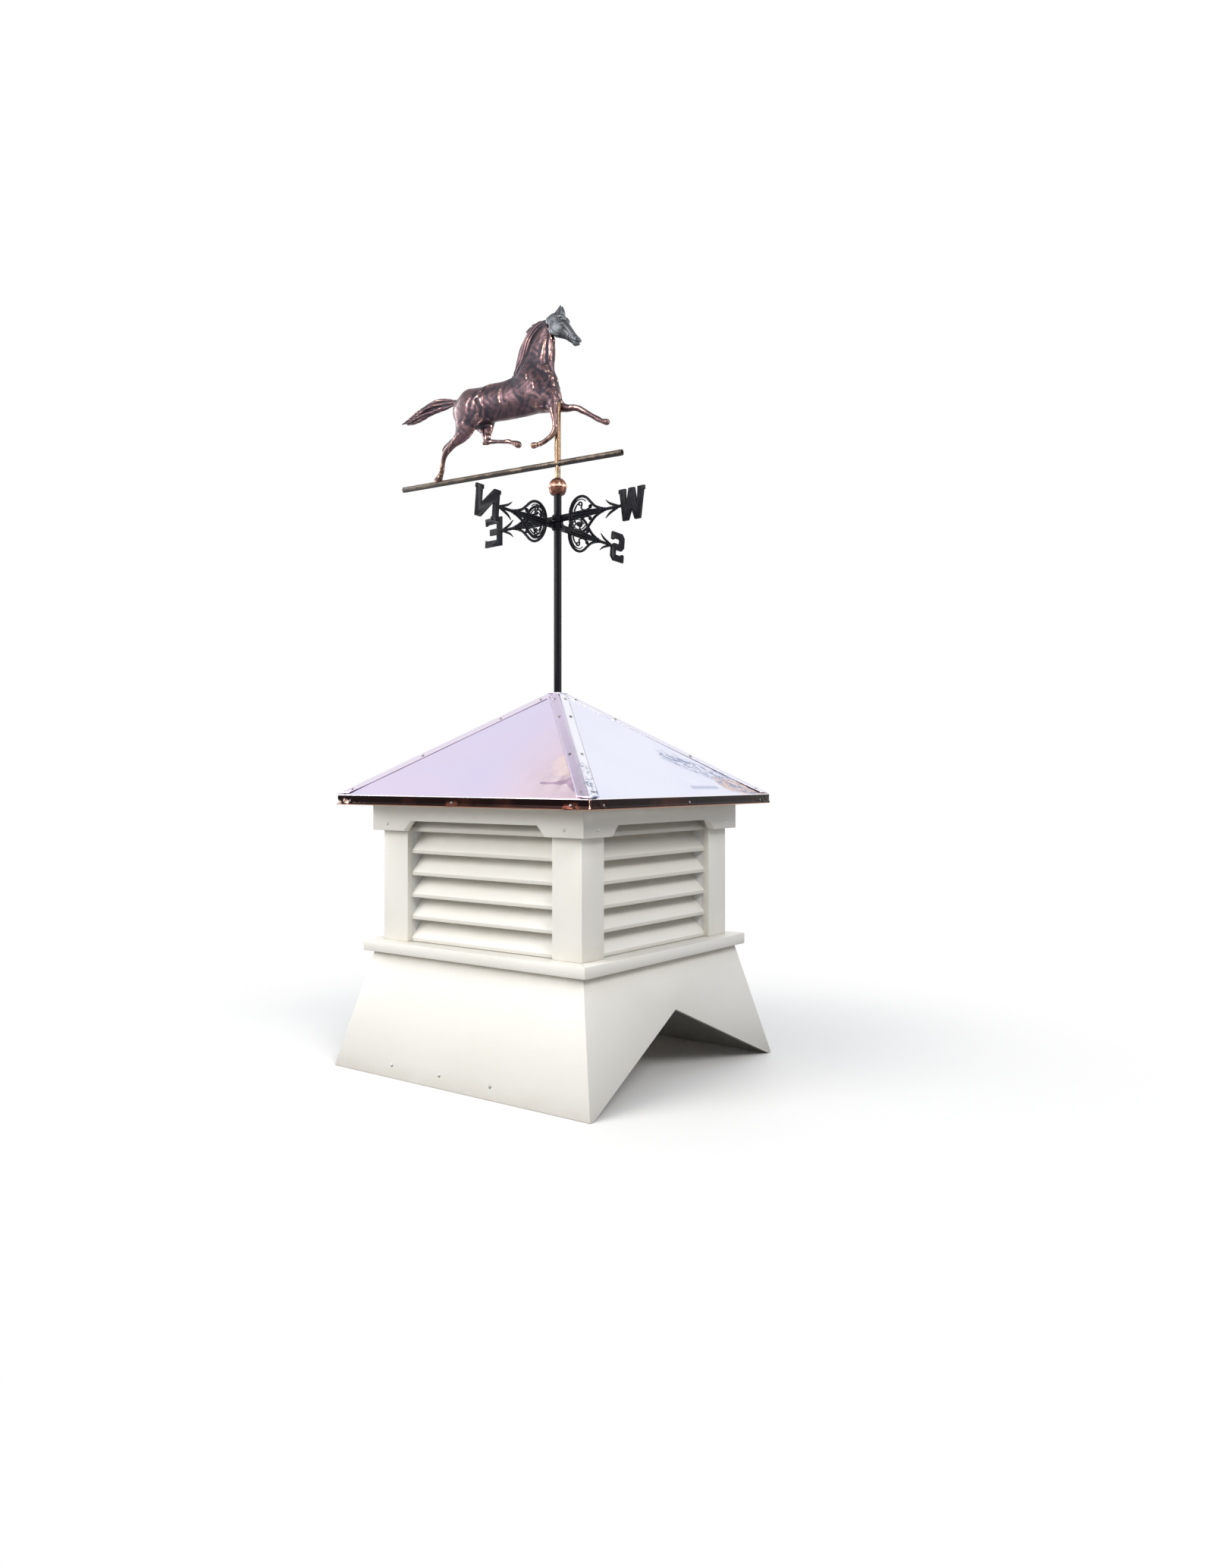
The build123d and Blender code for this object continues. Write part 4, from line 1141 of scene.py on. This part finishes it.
def one_arm(shape):
    """One arm of a casting, pointing along +X, as separate swept bars that run into each other."""
    for way in (1, -1):
        flat_bar(shape, on_side(loop_side, way), 0.0034, 0.0036)
        flat_bar(shape, on_side(inner_side, way), 0.0013, 0.0022, 5, 8)
        high = volute((0.0745, way * 0.0248), 0.0068, -60 * way, -0.9 * way)
        low = volute((0.1085, way * 0.0135), 0.0048, 100 * way, -1.2 * way)
        flat_bar(shape, high + on_side(scroll_link, way) + low[::-1], 0.0017, 0.0028, 3, 8)
        flat_bar(shape, on_side(scroll_leaf, way), 0.0016, 0.0026, 5, 8)
        flat_bar(shape, on_side(barb, way), 0.0031, 0.0030)
    for level in bar_levels:
        flat_bar(shape, [(loop_start - 0.002, level), (0.075, 1.05 * level, 1.1), (0.110, 0.85 * level),
                         (loop_tip, 0.35 * level, 0.9)], 0.0030, 0.0034, 5)
    shaft = [(loop_tip - 0.002, 0), (0.165, 0, 0.92), (0.190, 0, 0.9), (letter_start + 0.012, 0)]
    flat_bar(shape, shaft, 0.0042, 0.0040, 5, 12)
    for place, size in ((0.1465, 0.0072), (0.1545, 0.0052)):
        bead = bmesh.ops.create_uvsphere(shape, u_segments=16, v_segments=10, radius=size)["verts"]
        bmesh.ops.scale(shape, verts=bead, vec=(0.62, 0.96, 1.0))
        bmesh.ops.translate(shape, verts=bead, vec=(place, 0, 0))
    neck = bmesh.new()
    block(neck, (collar_radius - 0.003, -0.0034, -0.0082), (loop_start + 0.0015, 0.0034, 0.0082))
    bevel(neck, neck.edges, 0.0012)
    add_mesh(shape, neck)


def collar(shape):
    """The collar on the pole, with rolled edges and a boss for the set screw on each side."""
    half = collar_height / 2 - 0.0003
    rolled = [(pole_radius, half), (collar_radius - 0.0014, half), (collar_radius, half - 0.0014),
              (collar_radius, half - 0.0042), (collar_radius - 0.0009, half - 0.0052)]
    outline = [(radius, -height) for radius, height in rolled] + rolled[::-1]
    rings = [[shape.verts.new((radius * x, radius * y, height)) for x, y in circle(40)]
             for radius, height in outline]
    for corners in joined_rings(rings):
        shape.faces.new(corners)
    for way in (1, -1):
        for radius, depth, out in ((0.0052, 0.0040, 0.0008), (0.0031, 0.0036, 0.0036)):
            place = Matrix.Translation((0, way * (collar_radius + out), 0)) @ Matrix.Rotation(pi / 2, 4, "X")
            boss = bmesh.ops.create_cone(shape, cap_ends=True, segments=20, radius1=radius, radius2=radius,
                                         depth=depth, matrix=place)["verts"]
            bevel(shape, sharp_edges({edge for vert in boss for edge in vert.link_edges}, 57), 0.0006)


def cast_directional(name, node, level, right_letter, left_letter, heading, tilt):
    """A whole casting: arms and letters that lean, right end up, on an upright collar."""
    arm = bmesh.new()
    one_arm(arm)
    mesh = closed(arm, name)
    shape = opened(mesh)
    shape.from_mesh(turned(mesh, 180))
    add_letter(shape, right_letter, 1)
    add_letter(shape, left_letter, -1)
    shape.transform(Matrix.Rotation(radians(-tilt), 4, "Y"))
    collar(shape)
    bmesh.ops.recalc_face_normals(shape, faces=shape.faces)
    turned(closed(shape, mesh), heading).transform(Matrix.Translation((0, 0, level)))
    mesh.materials.append(black_casting)
    into_scene(name, smooth_by_angle(mesh, 40), "cupola", "black_casting", node)
    print(name, "faces:", len(mesh.polygons))


upper_level = (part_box("directional_east_west")[0].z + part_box("directional_east_west")[1].z) / 2
cast_directional("scrolled_north_south", "directional_north_south", upper_level - collar_height, "N", "S",
                 270 + compass_turn, north_south_tilt)
cast_directional("scrolled_east_west", "directional_east_west", upper_level, "E", "W",
                 180 + compass_turn, 0)

# %% [markdown]
# The horse was beaten from sheet copper, so it has no edges, only rounded forms that run into each
# other. Mesh tools make such joints hard. This script works as with clay: a block of space holds, at
# each point of a grid, the distance to the growing form. A limb is laid along a few oval stations, and
# a smooth minimum blends it into what is there. At the end, the surface where the distance is zero is
# drawn out as a mesh of even quads.

# %% Clay
mm = 0.001


class Clay:
    """A block of space that holds distances to a form, in metres. Corners and step are in millimetres."""

    def __init__(self, low, high, step):
        self.low = np.array(low) * mm
        self.step = step * mm
        self.empty = 30 * mm
        counts = np.ceil((np.array(high) - np.array(low)) / step).astype(int) + 1
        self.field = np.full(counts, self.empty, dtype=np.float32)

    def window(self, low, high):
        """The slices of the grid between two corners, and the coordinates there."""
        first = np.clip(np.floor((low - self.low) / self.step).astype(int), 0, self.field.shape)
        last = np.clip(np.ceil((high - self.low) / self.step).astype(int) + 1, 0, self.field.shape)
        axes = [self.low[i] + self.step * np.arange(first[i], last[i]) for i in range(3)]
        return tuple(slice(a, b) for a, b in zip(first, last)), np.ix_(*axes)

    def limb(self, stations, merge, carve=False):
        """Blends in, or carves out, a limb along stations (ahead, up, half height, half width, left) in mm.

        A station without its last value lies in the middle.
        """
        path = smooth_path([(*station, 0)[:5] for station in stations], 5) * mm
        margin = merge * mm + 3 * self.step
        spread = np.stack([path[:, 2], path[:, 3], path[:, 2]], 1) + margin
        centres = path[:, [0, 4, 1]]
        lows, highs = centres - spread, centres + spread
        whole, _ = self.window(lows.min(0), highs.max(0))
        form = np.full([part.stop - part.start for part in whole], self.empty, dtype=np.float32)
        for index in range(len(path) - 1):
            a, b = path[index:index + 2]
            here, (x, y, z) = self.window(np.minimum(lows[index], lows[index + 1]),
                                          np.maximum(highs[index], highs[index + 1]))
            inner = tuple(slice(h.start - w.start, h.stop - w.start) for h, w in zip(here, whole))
            run, rise = b[0] - a[0], b[1] - a[1]
            along = np.clip(((x - a[0]) * run + (z - a[1]) * rise) / (run**2 + rise**2), 0, 1)
            plane = (x - a[0] - along * run) ** 2 + (z - a[1] - along * rise) ** 2
            tall, wide, left = (a[i] + along * (b[i] - a[i]) for i in (2, 3, 4))
            side = (y - left) ** 2
            first = np.sqrt(plane / tall**2 + side / wide**2)
            second = np.sqrt(plane / tall**4 + side / wide**4)
            distance = first * (first - 1) / np.maximum(second, 1e-6)
            form[inner] = np.minimum(form[inner], distance)
        soft = merge * mm
        target = self.field[whole]
        if carve:
            near = np.clip(soft - np.abs(target + form), 0, None)
            self.field[whole] = np.maximum(target, -form) + near**2 / (4 * soft)
        else:
            near = np.clip(soft - np.abs(target - form), 0, None)
            self.field[whole] = np.minimum(target, form) - near**2 / (4 * soft)

    def pair(self, stations, merge, carve=False):
        """The same limb on both flanks."""
        for way in (1, -1):
            self.limb([(*row[:4], way * row[4]) for row in stations], merge, carve)

    def cut(self, point, normal, floor):
        """Takes away what lies ahead of a plane and above a floor, given by (ahead, up) values in mm."""
        _, (x, _, z) = self.window(self.low, self.low + self.step * np.array(self.field.shape))
        slope = np.hypot(*normal)
        plane = ((x - point[0] * mm) * normal[0] + (z - point[1] * mm) * normal[1]) / slope
        self.field = np.maximum(self.field, np.minimum(plane, z - floor * mm))

    def surface(self):
        """The points and quads of the surface where the distance is zero."""
        size = np.array(self.field.shape) - 1
        inside = self.field < 0
        unit = np.eye(3, dtype=int)

        def block_from(corner):
            return inside[tuple(slice(first, first + count) for first, count in zip(corner, size))]

        corners = [(i, j, k) for i in (0, 1) for j in (0, 1) for k in (0, 1)]
        count = sum(block_from(corner).astype(np.int8) for corner in corners)
        cells = np.argwhere((count > 0) & (count < 8))
        number = np.full(size, -1)
        number[tuple(cells.T)] = np.arange(len(cells))
        total, hits = np.zeros((len(cells), 3)), np.zeros(len(cells))
        cell_edges = [(corner, unit[axis]) for corner in corners for axis in range(3) if not corner[axis]]
        for corner, way in cell_edges:
            start = self.field[tuple((cells + corner).T)]
            end = self.field[tuple((cells + corner + way).T)]
            crossed = (start < 0) != (end < 0)
            share = np.where(crossed, start / np.where(crossed, start - end, 1), 0)
            total += crossed[:, None] * (corner + share[:, None] * way)
            hits += crossed
        points = self.low + self.step * (cells + total / hits[:, None])
        quads = []
        for axis in range(3):
            ahead, across, up = unit[axis], unit[(axis + 1) % 3], unit[(axis + 2) % 3]
            edges = np.argwhere(block_from((0, 0, 0)) != block_from(ahead))
            edges = edges[((edges - across - up) >= 0).all(1)]
            steps = (0 * up, across, across + up, up)
            quad = np.stack([number[tuple((edges - step).T)] for step in steps], 1)
            turned_round = ~inside[tuple(edges.T)]
            quad[turned_round] = quad[turned_round][:, ::-1]
            quads.append(quad)
        return points, np.vstack(quads)


# %% [markdown]
# Beating leaves marks too fine for the clay: locks in the mane, folds and shallow dents. They are
# pressed into the finished surface, along its normals. The same step measures how far each point stands
# above the average of its surroundings and adds a painted highlight on faces that look up, which is the
# relief_and_light that the copper material reads.

# %% Pressing and relief_and_light
full_rise, full_swell = 0.20 * mm, 1.6 * mm
lock_width, lock_depth, beaten_depth = 1.35 * mm, 1.1 * mm, 0.16 * mm


def averaged(values, quads, rounds):
    """Values at a mesh's points after each was averaged with its neighbours, some rounds over."""
    count, first, second = len(values), quads.ravel(), np.roll(quads, 1, axis=1).ravel()
    share = 1 + np.bincount(first, minlength=count) + np.bincount(second, minlength=count)
    for _ in range(rounds):
        sums = [part + np.bincount(first, part[second], count) + np.bincount(second, part[first], count)
                for part in values.T]
        values = np.stack(sums, 1) / share[:, None]
    return values


def point_normals(points, quads):
    corners = points[quads]
    facing = np.repeat(np.cross(corners[:, 2] - corners[:, 0], corners[:, 3] - corners[:, 1]), 4, axis=0)
    normals = np.stack([np.bincount(quads.ravel(), part, len(points)) for part in facing.T], 1)
    return normals / np.maximum(np.linalg.norm(normals, axis=1), 1e-12)[:, None]


def line_distance(points, path):
    """How far each point is, seen from the side, from a smooth line of (ahead, up) points in mm."""
    line = smooth_path(path, 5) * mm
    best = np.full(len(points), 1.0)
    for a, b in zip(line, line[1:]):
        way = b - a
        along = np.clip(((points[:, [0, 2]] - a) @ way) / (way @ way), 0, 1)
        best = np.minimum(best, np.linalg.norm(points[:, [0, 2]] - a - along[:, None] * way, axis=1))
    return best


def line_weight(points, path, width):
    """1 on a line, falling to 0 a few widths (in mm) away from it."""
    return np.exp(-((line_distance(points, path) / (width * mm)) ** 2))


def pressed(points, side, marks):
    """How far marks (path, depth, width), in mm, move the points of a flank outwards."""
    return sum(depth * mm * side * line_weight(points, path, width) for path, depth, width in marks)


def into_vane(name, clay, press, material, slot, node, fine_rounds=5, broad_rounds=36):
    """Adds a piece of the vane from clay, after press(points, normals) has moved its points outwards.

    The press also gives the share of the relief that each point keeps, which is low among locks of hair.
    """
    points, quads = clay.surface()
    normals = point_normals(points, quads)
    moved, kept = press(points, normals)
    points = points + normals * moved[:, None]
    normals = point_normals(points, quads)
    fine = ((points - averaged(points, quads, fine_rounds)) * normals).sum(1)
    broad = ((points - averaged(points, quads, broad_rounds)) * normals).sum(1)
    swell = np.clip((broad - np.median(broad)) / full_swell, -0.7, 0.12)
    # a thin limb stands above its surroundings all over, so only what differs along it counts
    fine -= averaged(fine[:, None], quads, 3 * fine_rounds)[:, 0]
    # faces that look up take a painted highlight, as if lit by the sky
    top_sky_highlight = 0.35 * np.clip(normals[:, 2] - 0.45, 0, 1)
    dull = 0.26 * np.clip(1 - kept / 0.5, 0, 1)
    relief_and_light = np.clip(kept * (fine / full_rise + top_sky_highlight) + swell - dull, -1, 1)
    mesh = plain_mesh(name, points.tolist(), quads.tolist(), material)
    set_values(mesh, "relief_and_light", relief_and_light.astype(np.float32))
    mesh.transform(Matrix.Translation((0, 0, bar_height)) @ Matrix.Rotation(radians(heading), 4, "Z"))
    into_scene(name, mesh, "vane", slot, node)
    print(name, "quads:", len(quads))


# %% Horse
heading = 4.9
bar_radius = 0.0075
bar_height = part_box("vane_bar")[1].z - bar_radius
seam_point, seam_normal = (-22, 336), (0.936, 0.353)

horse = Clay((-404, -52, 2), (160, 52, 382), 1.6)
horse.limb([(-277, 176, 44, 32), (-254, 180, 48, 37), (-224, 181, 47.5, 37), (-192, 181, 46, 34),
            (-160, 179, 46, 35), (-127, 181, 48, 37), (-98, 183, 50, 37), (-65, 182, 48, 35),
            (-39, 174, 41, 30), (-23, 165, 30, 24)], 1)
horse.limb([(-68, 203, 54, 29), (-63, 225, 51, 27), (-60, 242, 46, 24), (-54, 262, 39, 21),
            (-50, 279, 35, 19), (-46, 295, 31, 17), (-41, 309, 28, 15.5), (-33, 326, 23, 13.5),
            (-22, 342, 17, 12), (-10, 352, 14, 11)], 16)
horse.pair([(-82, 226, 20, 9, 20), (-62, 196, 26, 10, 24), (-40, 166, 22, 10, 19)], 18)
horse.pair([(-262, 200, 22, 12, 17), (-247, 176, 31, 12, 24), (-234, 152, 24, 11, 23)], 16)
horse.pair([(-196, 217, 8, 9, 9), (-150, 217, 8, 9, 9), (-118, 223, 8, 8, 8)], 16)
horse.pair([(-27, 310, 4, 3, 7), (-30, 292, 5.5, 5, 11), (-33, 267, 6, 5, 14), (-36, 236, 4, 3, 12)], 8)
horse.pair([(-14, 322, 3.5, 3, 3), (-17, 300, 5, 4.5, 5), (-17, 276, 5, 5, 6), (-20, 240, 3.5, 3, 4)], 7)
for ahead, up, tall, wide, left in (
    (-26, 232, 10, 7, 11), (-16, 213, 10, 7, 9), (-13, 195, 11, 8, 10), (-10, 176, 12, 8, 10),
    (-6, 160, 11, 8, 9),
):
    horse.pair([(ahead - 3, up + 5, tall, wide, left),
                (ahead + 3, up - 5, tall - 2, wide - 1, left + 1)], 3.5)
horse.limb([(-30, 352, 8, 8), (-50, 351, 10, 8), (-68, 342, 14, 8.5), (-84, 322, 15, 9),
            (-96, 298, 17, 10), (-105, 273, 16.5, 10), (-115, 250, 13, 8), (-130, 237, 6, 5)], 3)
for wisp in (
    [(-48, 355, 4, 3.6, 2), (-62, 358, 3, 2.8, 2), (-77, 357, 1.7, 1.6, 2)],
    [(-66, 349, 4.5, 3.6, -2), (-80, 348, 3.2, 2.8, -2), (-93, 342, 1.8, 1.6, -2)],
    [(-90, 322, 5, 3.6, 2), (-103, 311, 3.6, 2.8, 2), (-112, 297, 1.9, 1.6, 2)],
    [(-106, 288, 4.5, 3.4, -1), (-118, 276, 3.2, 2.6, -1), (-124, 262, 1.8, 1.6, -1)],
):
    horse.limb(wisp, 1.5)

# the near hind leg trails and stands on the bar, the far one swings forward under the belly
horse.limb([(-260, 172, 39, 16, -17), (-267, 148, 36, 16, -18), (-275, 126, 28, 14.5, -17),
            (-289, 109, 19, 12.5, -16), (-309, 97, 12, 9.5, -14), (-328, 86, 10, 8, -12.5),
            (-341, 76, 8.6, 7.6, -11), (-350, 63, 6.4, 6.4, -9), (-356, 48, 5.6, 5.8, -6),
            (-360, 36, 6.6, 6.6, -4), (-365, 25, 6.4, 6.4, -2)], 7)
horse.limb([(-366, 24, 6.4, 6.6, -1), (-373, 14, 9.5, 9), (-378, 7, 12, 9.5)], 1.5)
horse.limb([(-318, 104, 4, 3.5, -14), (-340, 92, 4.5, 4, -12), (-350, 82, 4.5, 4.5, -11)], 4)
horse.limb([(-262, 178, 33, 15, 16), (-250, 156, 29, 15, 17), (-239, 140, 24, 13.5, 18),
            (-231, 126, 18.5, 12, 18), (-232, 114, 13.5, 10, 18), (-230, 102, 10.5, 9, 18),
            (-230, 93, 8, 7.5, 18)], 7)
horse.limb([(-240, 91, 5, 5, 18), (-231, 93, 7, 6.4, 18), (-217, 91.5, 6, 6, 18), (-197, 88.7, 4.6, 4.8, 18),
            (-176, 85, 4.8, 4.8, 18), (-163, 84, 6, 5.8, 18), (-153, 80, 5, 5, 18)], 3)
horse.limb([(-150, 79, 5.2, 5.2, 18), (-141, 75.5, 7.2, 6.8, 18), (-131, 70.5, 9, 8.2, 18)], 1.2)

# the near foreleg is bent under the chest, the far one reaches ahead
horse.limb([(-22, 168, 24, 13, -14), (-8, 146, 16, 11, -16), (-2, 126, 10, 9, -17), (1, 108, 7.2, 7, -17),
            (3, 95, 6.6, 6.5, -17), (4, 83, 7.4, 7, -17), (-2, 70, 7.2, 6.6, -17), (-15, 60.5, 6.4, 6, -17),
            (-30, 53.5, 5.8, 5.6, -17), (-41, 50.5, 6.6, 6.2, -17)], 6)
horse.limb([(-48, 50, 5.6, 5.6, -17), (-55, 49.5, 7.2, 6.8, -17), (-60, 49.5, 8, 8, -17)], 1.2)
horse.limb([(-34, 160, 24, 13, 13), (-6, 146, 14, 11, 15), (15, 138, 9.8, 9, 16), (38, 135, 8, 7.4, 16),
            (50, 131, 7.6, 7, 16), (60, 125, 7.8, 7, 16), (75, 116, 6.4, 6, 16), (92, 105, 5.8, 5.6, 16),
            (106, 96, 6.6, 6.4, 16), (115, 90.5, 5.4, 5.4, 16)], 6)
horse.limb([(118, 89, 5.8, 5.6, 16), (125, 86.5, 7, 7, 16), (131, 84.5, 7.6, 8, 16)], 1.2)
horse.limb([(-296, 196, 13, 10), (-318, 204, 8.5, 6.5), (-334, 207, 7, 5)], 5)
horse.cut(seam_point, seam_normal, 262)


def horse_marks(points, normals):
    """Locks of the mane, folds of the neck, flank and thigh, and the marks of the beating."""
    side = np.clip(np.abs(normals[:, 1]) * 1.8, 0, 1)
    x, y, z = points.T
    neck_line = [(-34, 350), (-60, 334), (-79, 306), (-92, 272), (-108, 244)]
    crest = [(-30, 354), (-50, 351), (-68, 341), (-86, 321),
             (-99, 297), (-109, 272), (-119, 250), (-131, 237)]
    mane = line_weight(points, crest, 15) * np.clip((0.012 - np.abs(y)) / 0.004, 0, 1)
    locks = line_distance(points, neck_line) / lock_width
    locks += 1.1 * np.sin(z / 0.013 + np.sign(y)) + 0.3 * np.sin(z / 0.0052)
    folds = pressed(points, side, (
        ([(-12, 318), (-16, 300), (-16, 278), (-14, 258)], 0.6, 3.0),
        ([(-26, 306), (-30, 290), (-33, 272)], 0.5, 3.4),
        ([(-20, 314), (-24, 294), (-25, 272), (-25, 248)], -1.0, 3.6),
        (neck_line, -1.0, 4.0),
        ([(-42, 240), (-28, 234), (-20, 224)], 0.7, 7.0),
        ([(-13, 214), (-18, 198), (-18, 184)], 0.8, 4.0),
        ([(-10, 178), (0, 164), (8, 153)], 1.0, 4.5),
        ([(-50, 224), (-34, 200), (-28, 174)], -0.9, 7.0),
        ([(-152, 200), (-156, 187), (-152, 170)], 0.8, 5.0),
        ([(-139, 204), (-142, 187), (-137, 168)], -0.7, 6.0),
        ([(-211, 226), (-214, 211), (-220, 194)], 0.7, 6.0),
        ([(-222, 216), (-204, 222), (-186, 220)], 0.8, 6.0),
        ([(-212, 206), (-206, 196), (-208, 186)], 0.6, 6.0),
        ([(-216, 206), (-225, 190), (-234, 166)], 0.8, 6.5),
        ([(-240, 192), (-252, 174), (-256, 158)], 0.6, 7.5),
        ([(-228, 206), (-240, 188), (-246, 164)], -0.8, 6.0),
        ([(-222, 186), (-211, 164), (-214, 146)], -2.0, 5.5),
        ([(-224, 135), (-212, 131), (-203, 132)], 1.4, 7.0),
        ([(-262, 145), (-276, 132)], 1.1, 8.0),
        ([(-70, 221), (-68, 213)], 0.8, 4.0),
        ([(-48, 196), (-46, 186)], 0.8, 4.0),
        ([(-286, 112), (-308, 98), (-324, 84), (-334, 62), (-342, 40)], 0.7, 3.4),
        ([(-3, 130), (2, 108), (4, 90)], 0.6, 3.0),
        ([(30, 139), (50, 134), (75, 119), (100, 102)], 0.6, 3.0),
    ))
    beaten = np.sin(x / 0.0043 + 1.7 * np.sin(z / 0.009))
    beaten *= np.sin(z / 0.0051 + 1.3 * np.sin(y / 0.008 + x / 0.013))
    calm = np.clip(1.8 * line_weight(points, crest, 21), 0, 1)
    forelegs = np.clip((0.150 - z) / 0.030, 0, 1) * np.clip((x + 0.080) / 0.020, 0, 1)
    out = lock_depth * mane * np.sin(locks) + folds + beaten_depth * beaten * (1 - mane)
    return out, 1 - 0.86 * calm - 0.55 * forelegs


into_vane("copper_horse", horse, horse_marks, aged_copper, "aged_copper", "horse_body")

# %% [markdown]
# The head is a separate casting in a greyer metal, let into the end of the neck. It is built the same
# way on a finer grid, because the eye, nostril and mouth are only a few millimetres across.

# %% Head
head = Clay((-34, -24, 274), (76, 24, 398), 0.85)
head.limb([(-20, 354, 14.5, 12), (-5, 350, 23, 15), (5, 337, 25.5, 16), (18, 325, 20, 13.5),
           (30, 315, 15.8, 11), (43, 302, 12.4, 9.4), (54, 291.5, 10.8, 8.8)], 1)
head.pair([(-3, 331, 17, 6, 10), (5, 327, 15, 5.5, 9.5)], 5)
head.pair([(9, 358, 4.5, 4, 10.5), (18, 355, 4.8, 4.2, 10.8), (26, 347, 3.6, 3.4, 9)], 3)
head.pair([(22, 338, 3.6, 2.6, 11.5), (36, 322, 3.2, 2.4, 9.4), (46, 308, 2.6, 2.2, 7.6)], 3.5)
head.pair([(57, 297, 4.6, 3.6, 5.6), (62, 291, 4.2, 3.4, 5)], 2)
head.limb([(51, 285, 5.5, 6.5), (59, 283.5, 4.6, 5.8)], 2.5)
head.pair([(2, 354, 14, 5.6, 6.4), (5, 363, 12, 4.8, 6), (8, 371, 8.6, 3.8, 5.6), (10, 379, 4.8, 2.6, 5),
           (11, 385.5, 1.5, 1.2, 4.4)], 2.5)
head.limb([(4, 356, 13, 8.5), (10, 363, 11.5, 7.5), (12, 371, 8, 5.4), (11.5, 379, 4, 3)], 3)
head.pair([(11, 363, 3.2, 1.6, 11.2), (12, 371, 2.6, 1.3, 9.8), (12, 377, 1.3, 0.9, 8.2)], 1.2, carve=True)
head.pair([(18, 349, 5.2, 2.6, 14.6), (20, 348.4, 5.2, 2.6, 14.6)], 1.6, carve=True)
head.pair([(18.6, 348.8, 3.7, 3.4, 11.0), (19.6, 348.4, 3.7, 3.4, 11.0)], 0.6)
head.pair([(60.5, 293, 1.9, 2.2, 8.8), (62, 291.5, 1.6, 2.0, 8.6)], 1.0, carve=True)
back_cut = (seam_point[0] - 1.2 * seam_normal[0], seam_point[1] - 1.2 * seam_normal[1])
head.cut(back_cut, (-seam_normal[0], -seam_normal[1]), 262)


def head_marks(points, normals):
    side = np.clip(np.abs(normals[:, 1]) * 2.2, 0, 1)
    out = pressed(points, side, (
        ([(68, 283.5), (58, 288), (50, 291.5), (45, 296)], -1.5, 1.1),
        ([(44, 301), (41, 295), (43, 289)], -0.7, 1.3),
        ([(38, 306), (35, 299), (37, 293)], -0.6, 1.5),
        ([(9, 350), (13, 343.5), (19, 341.5), (25, 344)], -0.7, 1.3),
        ([(10, 345), (15, 338), (23, 337)], 0.4, 1.6),
        ([(-10, 342), (-8, 328), (2, 317), (14, 314)], -0.6, 2.2),
    ))
    return out, 0.6 - 0.5 * line_weight(points, [(40, 296), (52, 288), (64, 284)], 13)


into_vane("cast_head", head, head_marks, grey_casting, "grey_casting", "horse_head", 5, 30)

# %% [markdown]
# The tail streams out as a fan of strands that overlap and end one after another along its lower edge.
# Their paths follow one rule, so a loop lays them.

# %% Tail
tail = Clay((-512, -18, 160), (-300, 18, 232), 1.2)
upper_line = [(-503, 178.5), (-490, 184), (-475, 191), (-440, 210), (-408, 221), (-380, 223), (-345, 219),
              (-318, 211)]
lower_line = [(-503, 176), (-490, 173.5), (-470, 172.5), (-435, 175), (-396, 183), (-358, 191), (-318, 199)]
strand_count = 6
for strand in range(strand_count):
    share = strand / (strand_count - 1)
    tip = -501.5 + 26 * abs(share - 0.25)
    rows = []
    for step in range(10):
        along = step / 9
        ahead = -322 + (tip + 322) * along
        high, low = (np.interp(ahead, *zip(*line)) for line in (upper_line, lower_line))
        thick = max(1.4, 0.62 * (high - low) / (strand_count - 1) + 1.2 * (1 - along))
        room = max(0.0, high - low - 2 * thick)
        wave = 0.10 * room * sin(7.5 * along + 2.1 * strand)
        rows.append((ahead, high - thick - share * room + wave, thick, 1.1 * thick,
                     3.4 * sin(2.4 * strand + 1.4 * along) * (1 - 0.6 * along)))
    tail.limb(rows, 0.7)
tail.limb([(-320, 204, 6.0, 5.2), (-350, 205, 9, 3.0), (-390, 202, 14, 2.0), (-430, 190, 10, 1.6),
           (-470, 181, 5, 1.4)], 0.8)


def tail_marks(points, normals):
    x, y, z = points.T
    hairs = np.sin((z + 0.10 * x + 0.002 * np.sin(x / 0.012)) / 0.00105 + 2 * np.sign(y))
    return 0.00022 * hairs, np.full(len(points), 0.5)


into_vane("copper_tail", tail, tail_marks, aged_copper, "aged_copper", "horse_tail", 4, 20)

# %% [markdown]
# The bar is a length of old brass tube. Its top is painted lighter and its underside darker, a painted
# highlight and painted shade of the light falling from above.

# %% Bar
bar_mesh = eased("vane_bar", 0.0005, aged_brass)
# painted light: lighter towards the top of the bar, darker underneath
bar_painted_light = [0.75 * (vert.co.z - bar_height) / bar_radius - 0.1 for vert in bar_mesh.vertices]
set_values(bar_mesh, "relief_and_light", np.clip(bar_painted_light, -1, 1))
into_scene("brass_bar", bar_mesh, "vane", "aged_brass", "vane_bar")
print("bar points:", len(bar_painted_light))

# %% The json module
import json
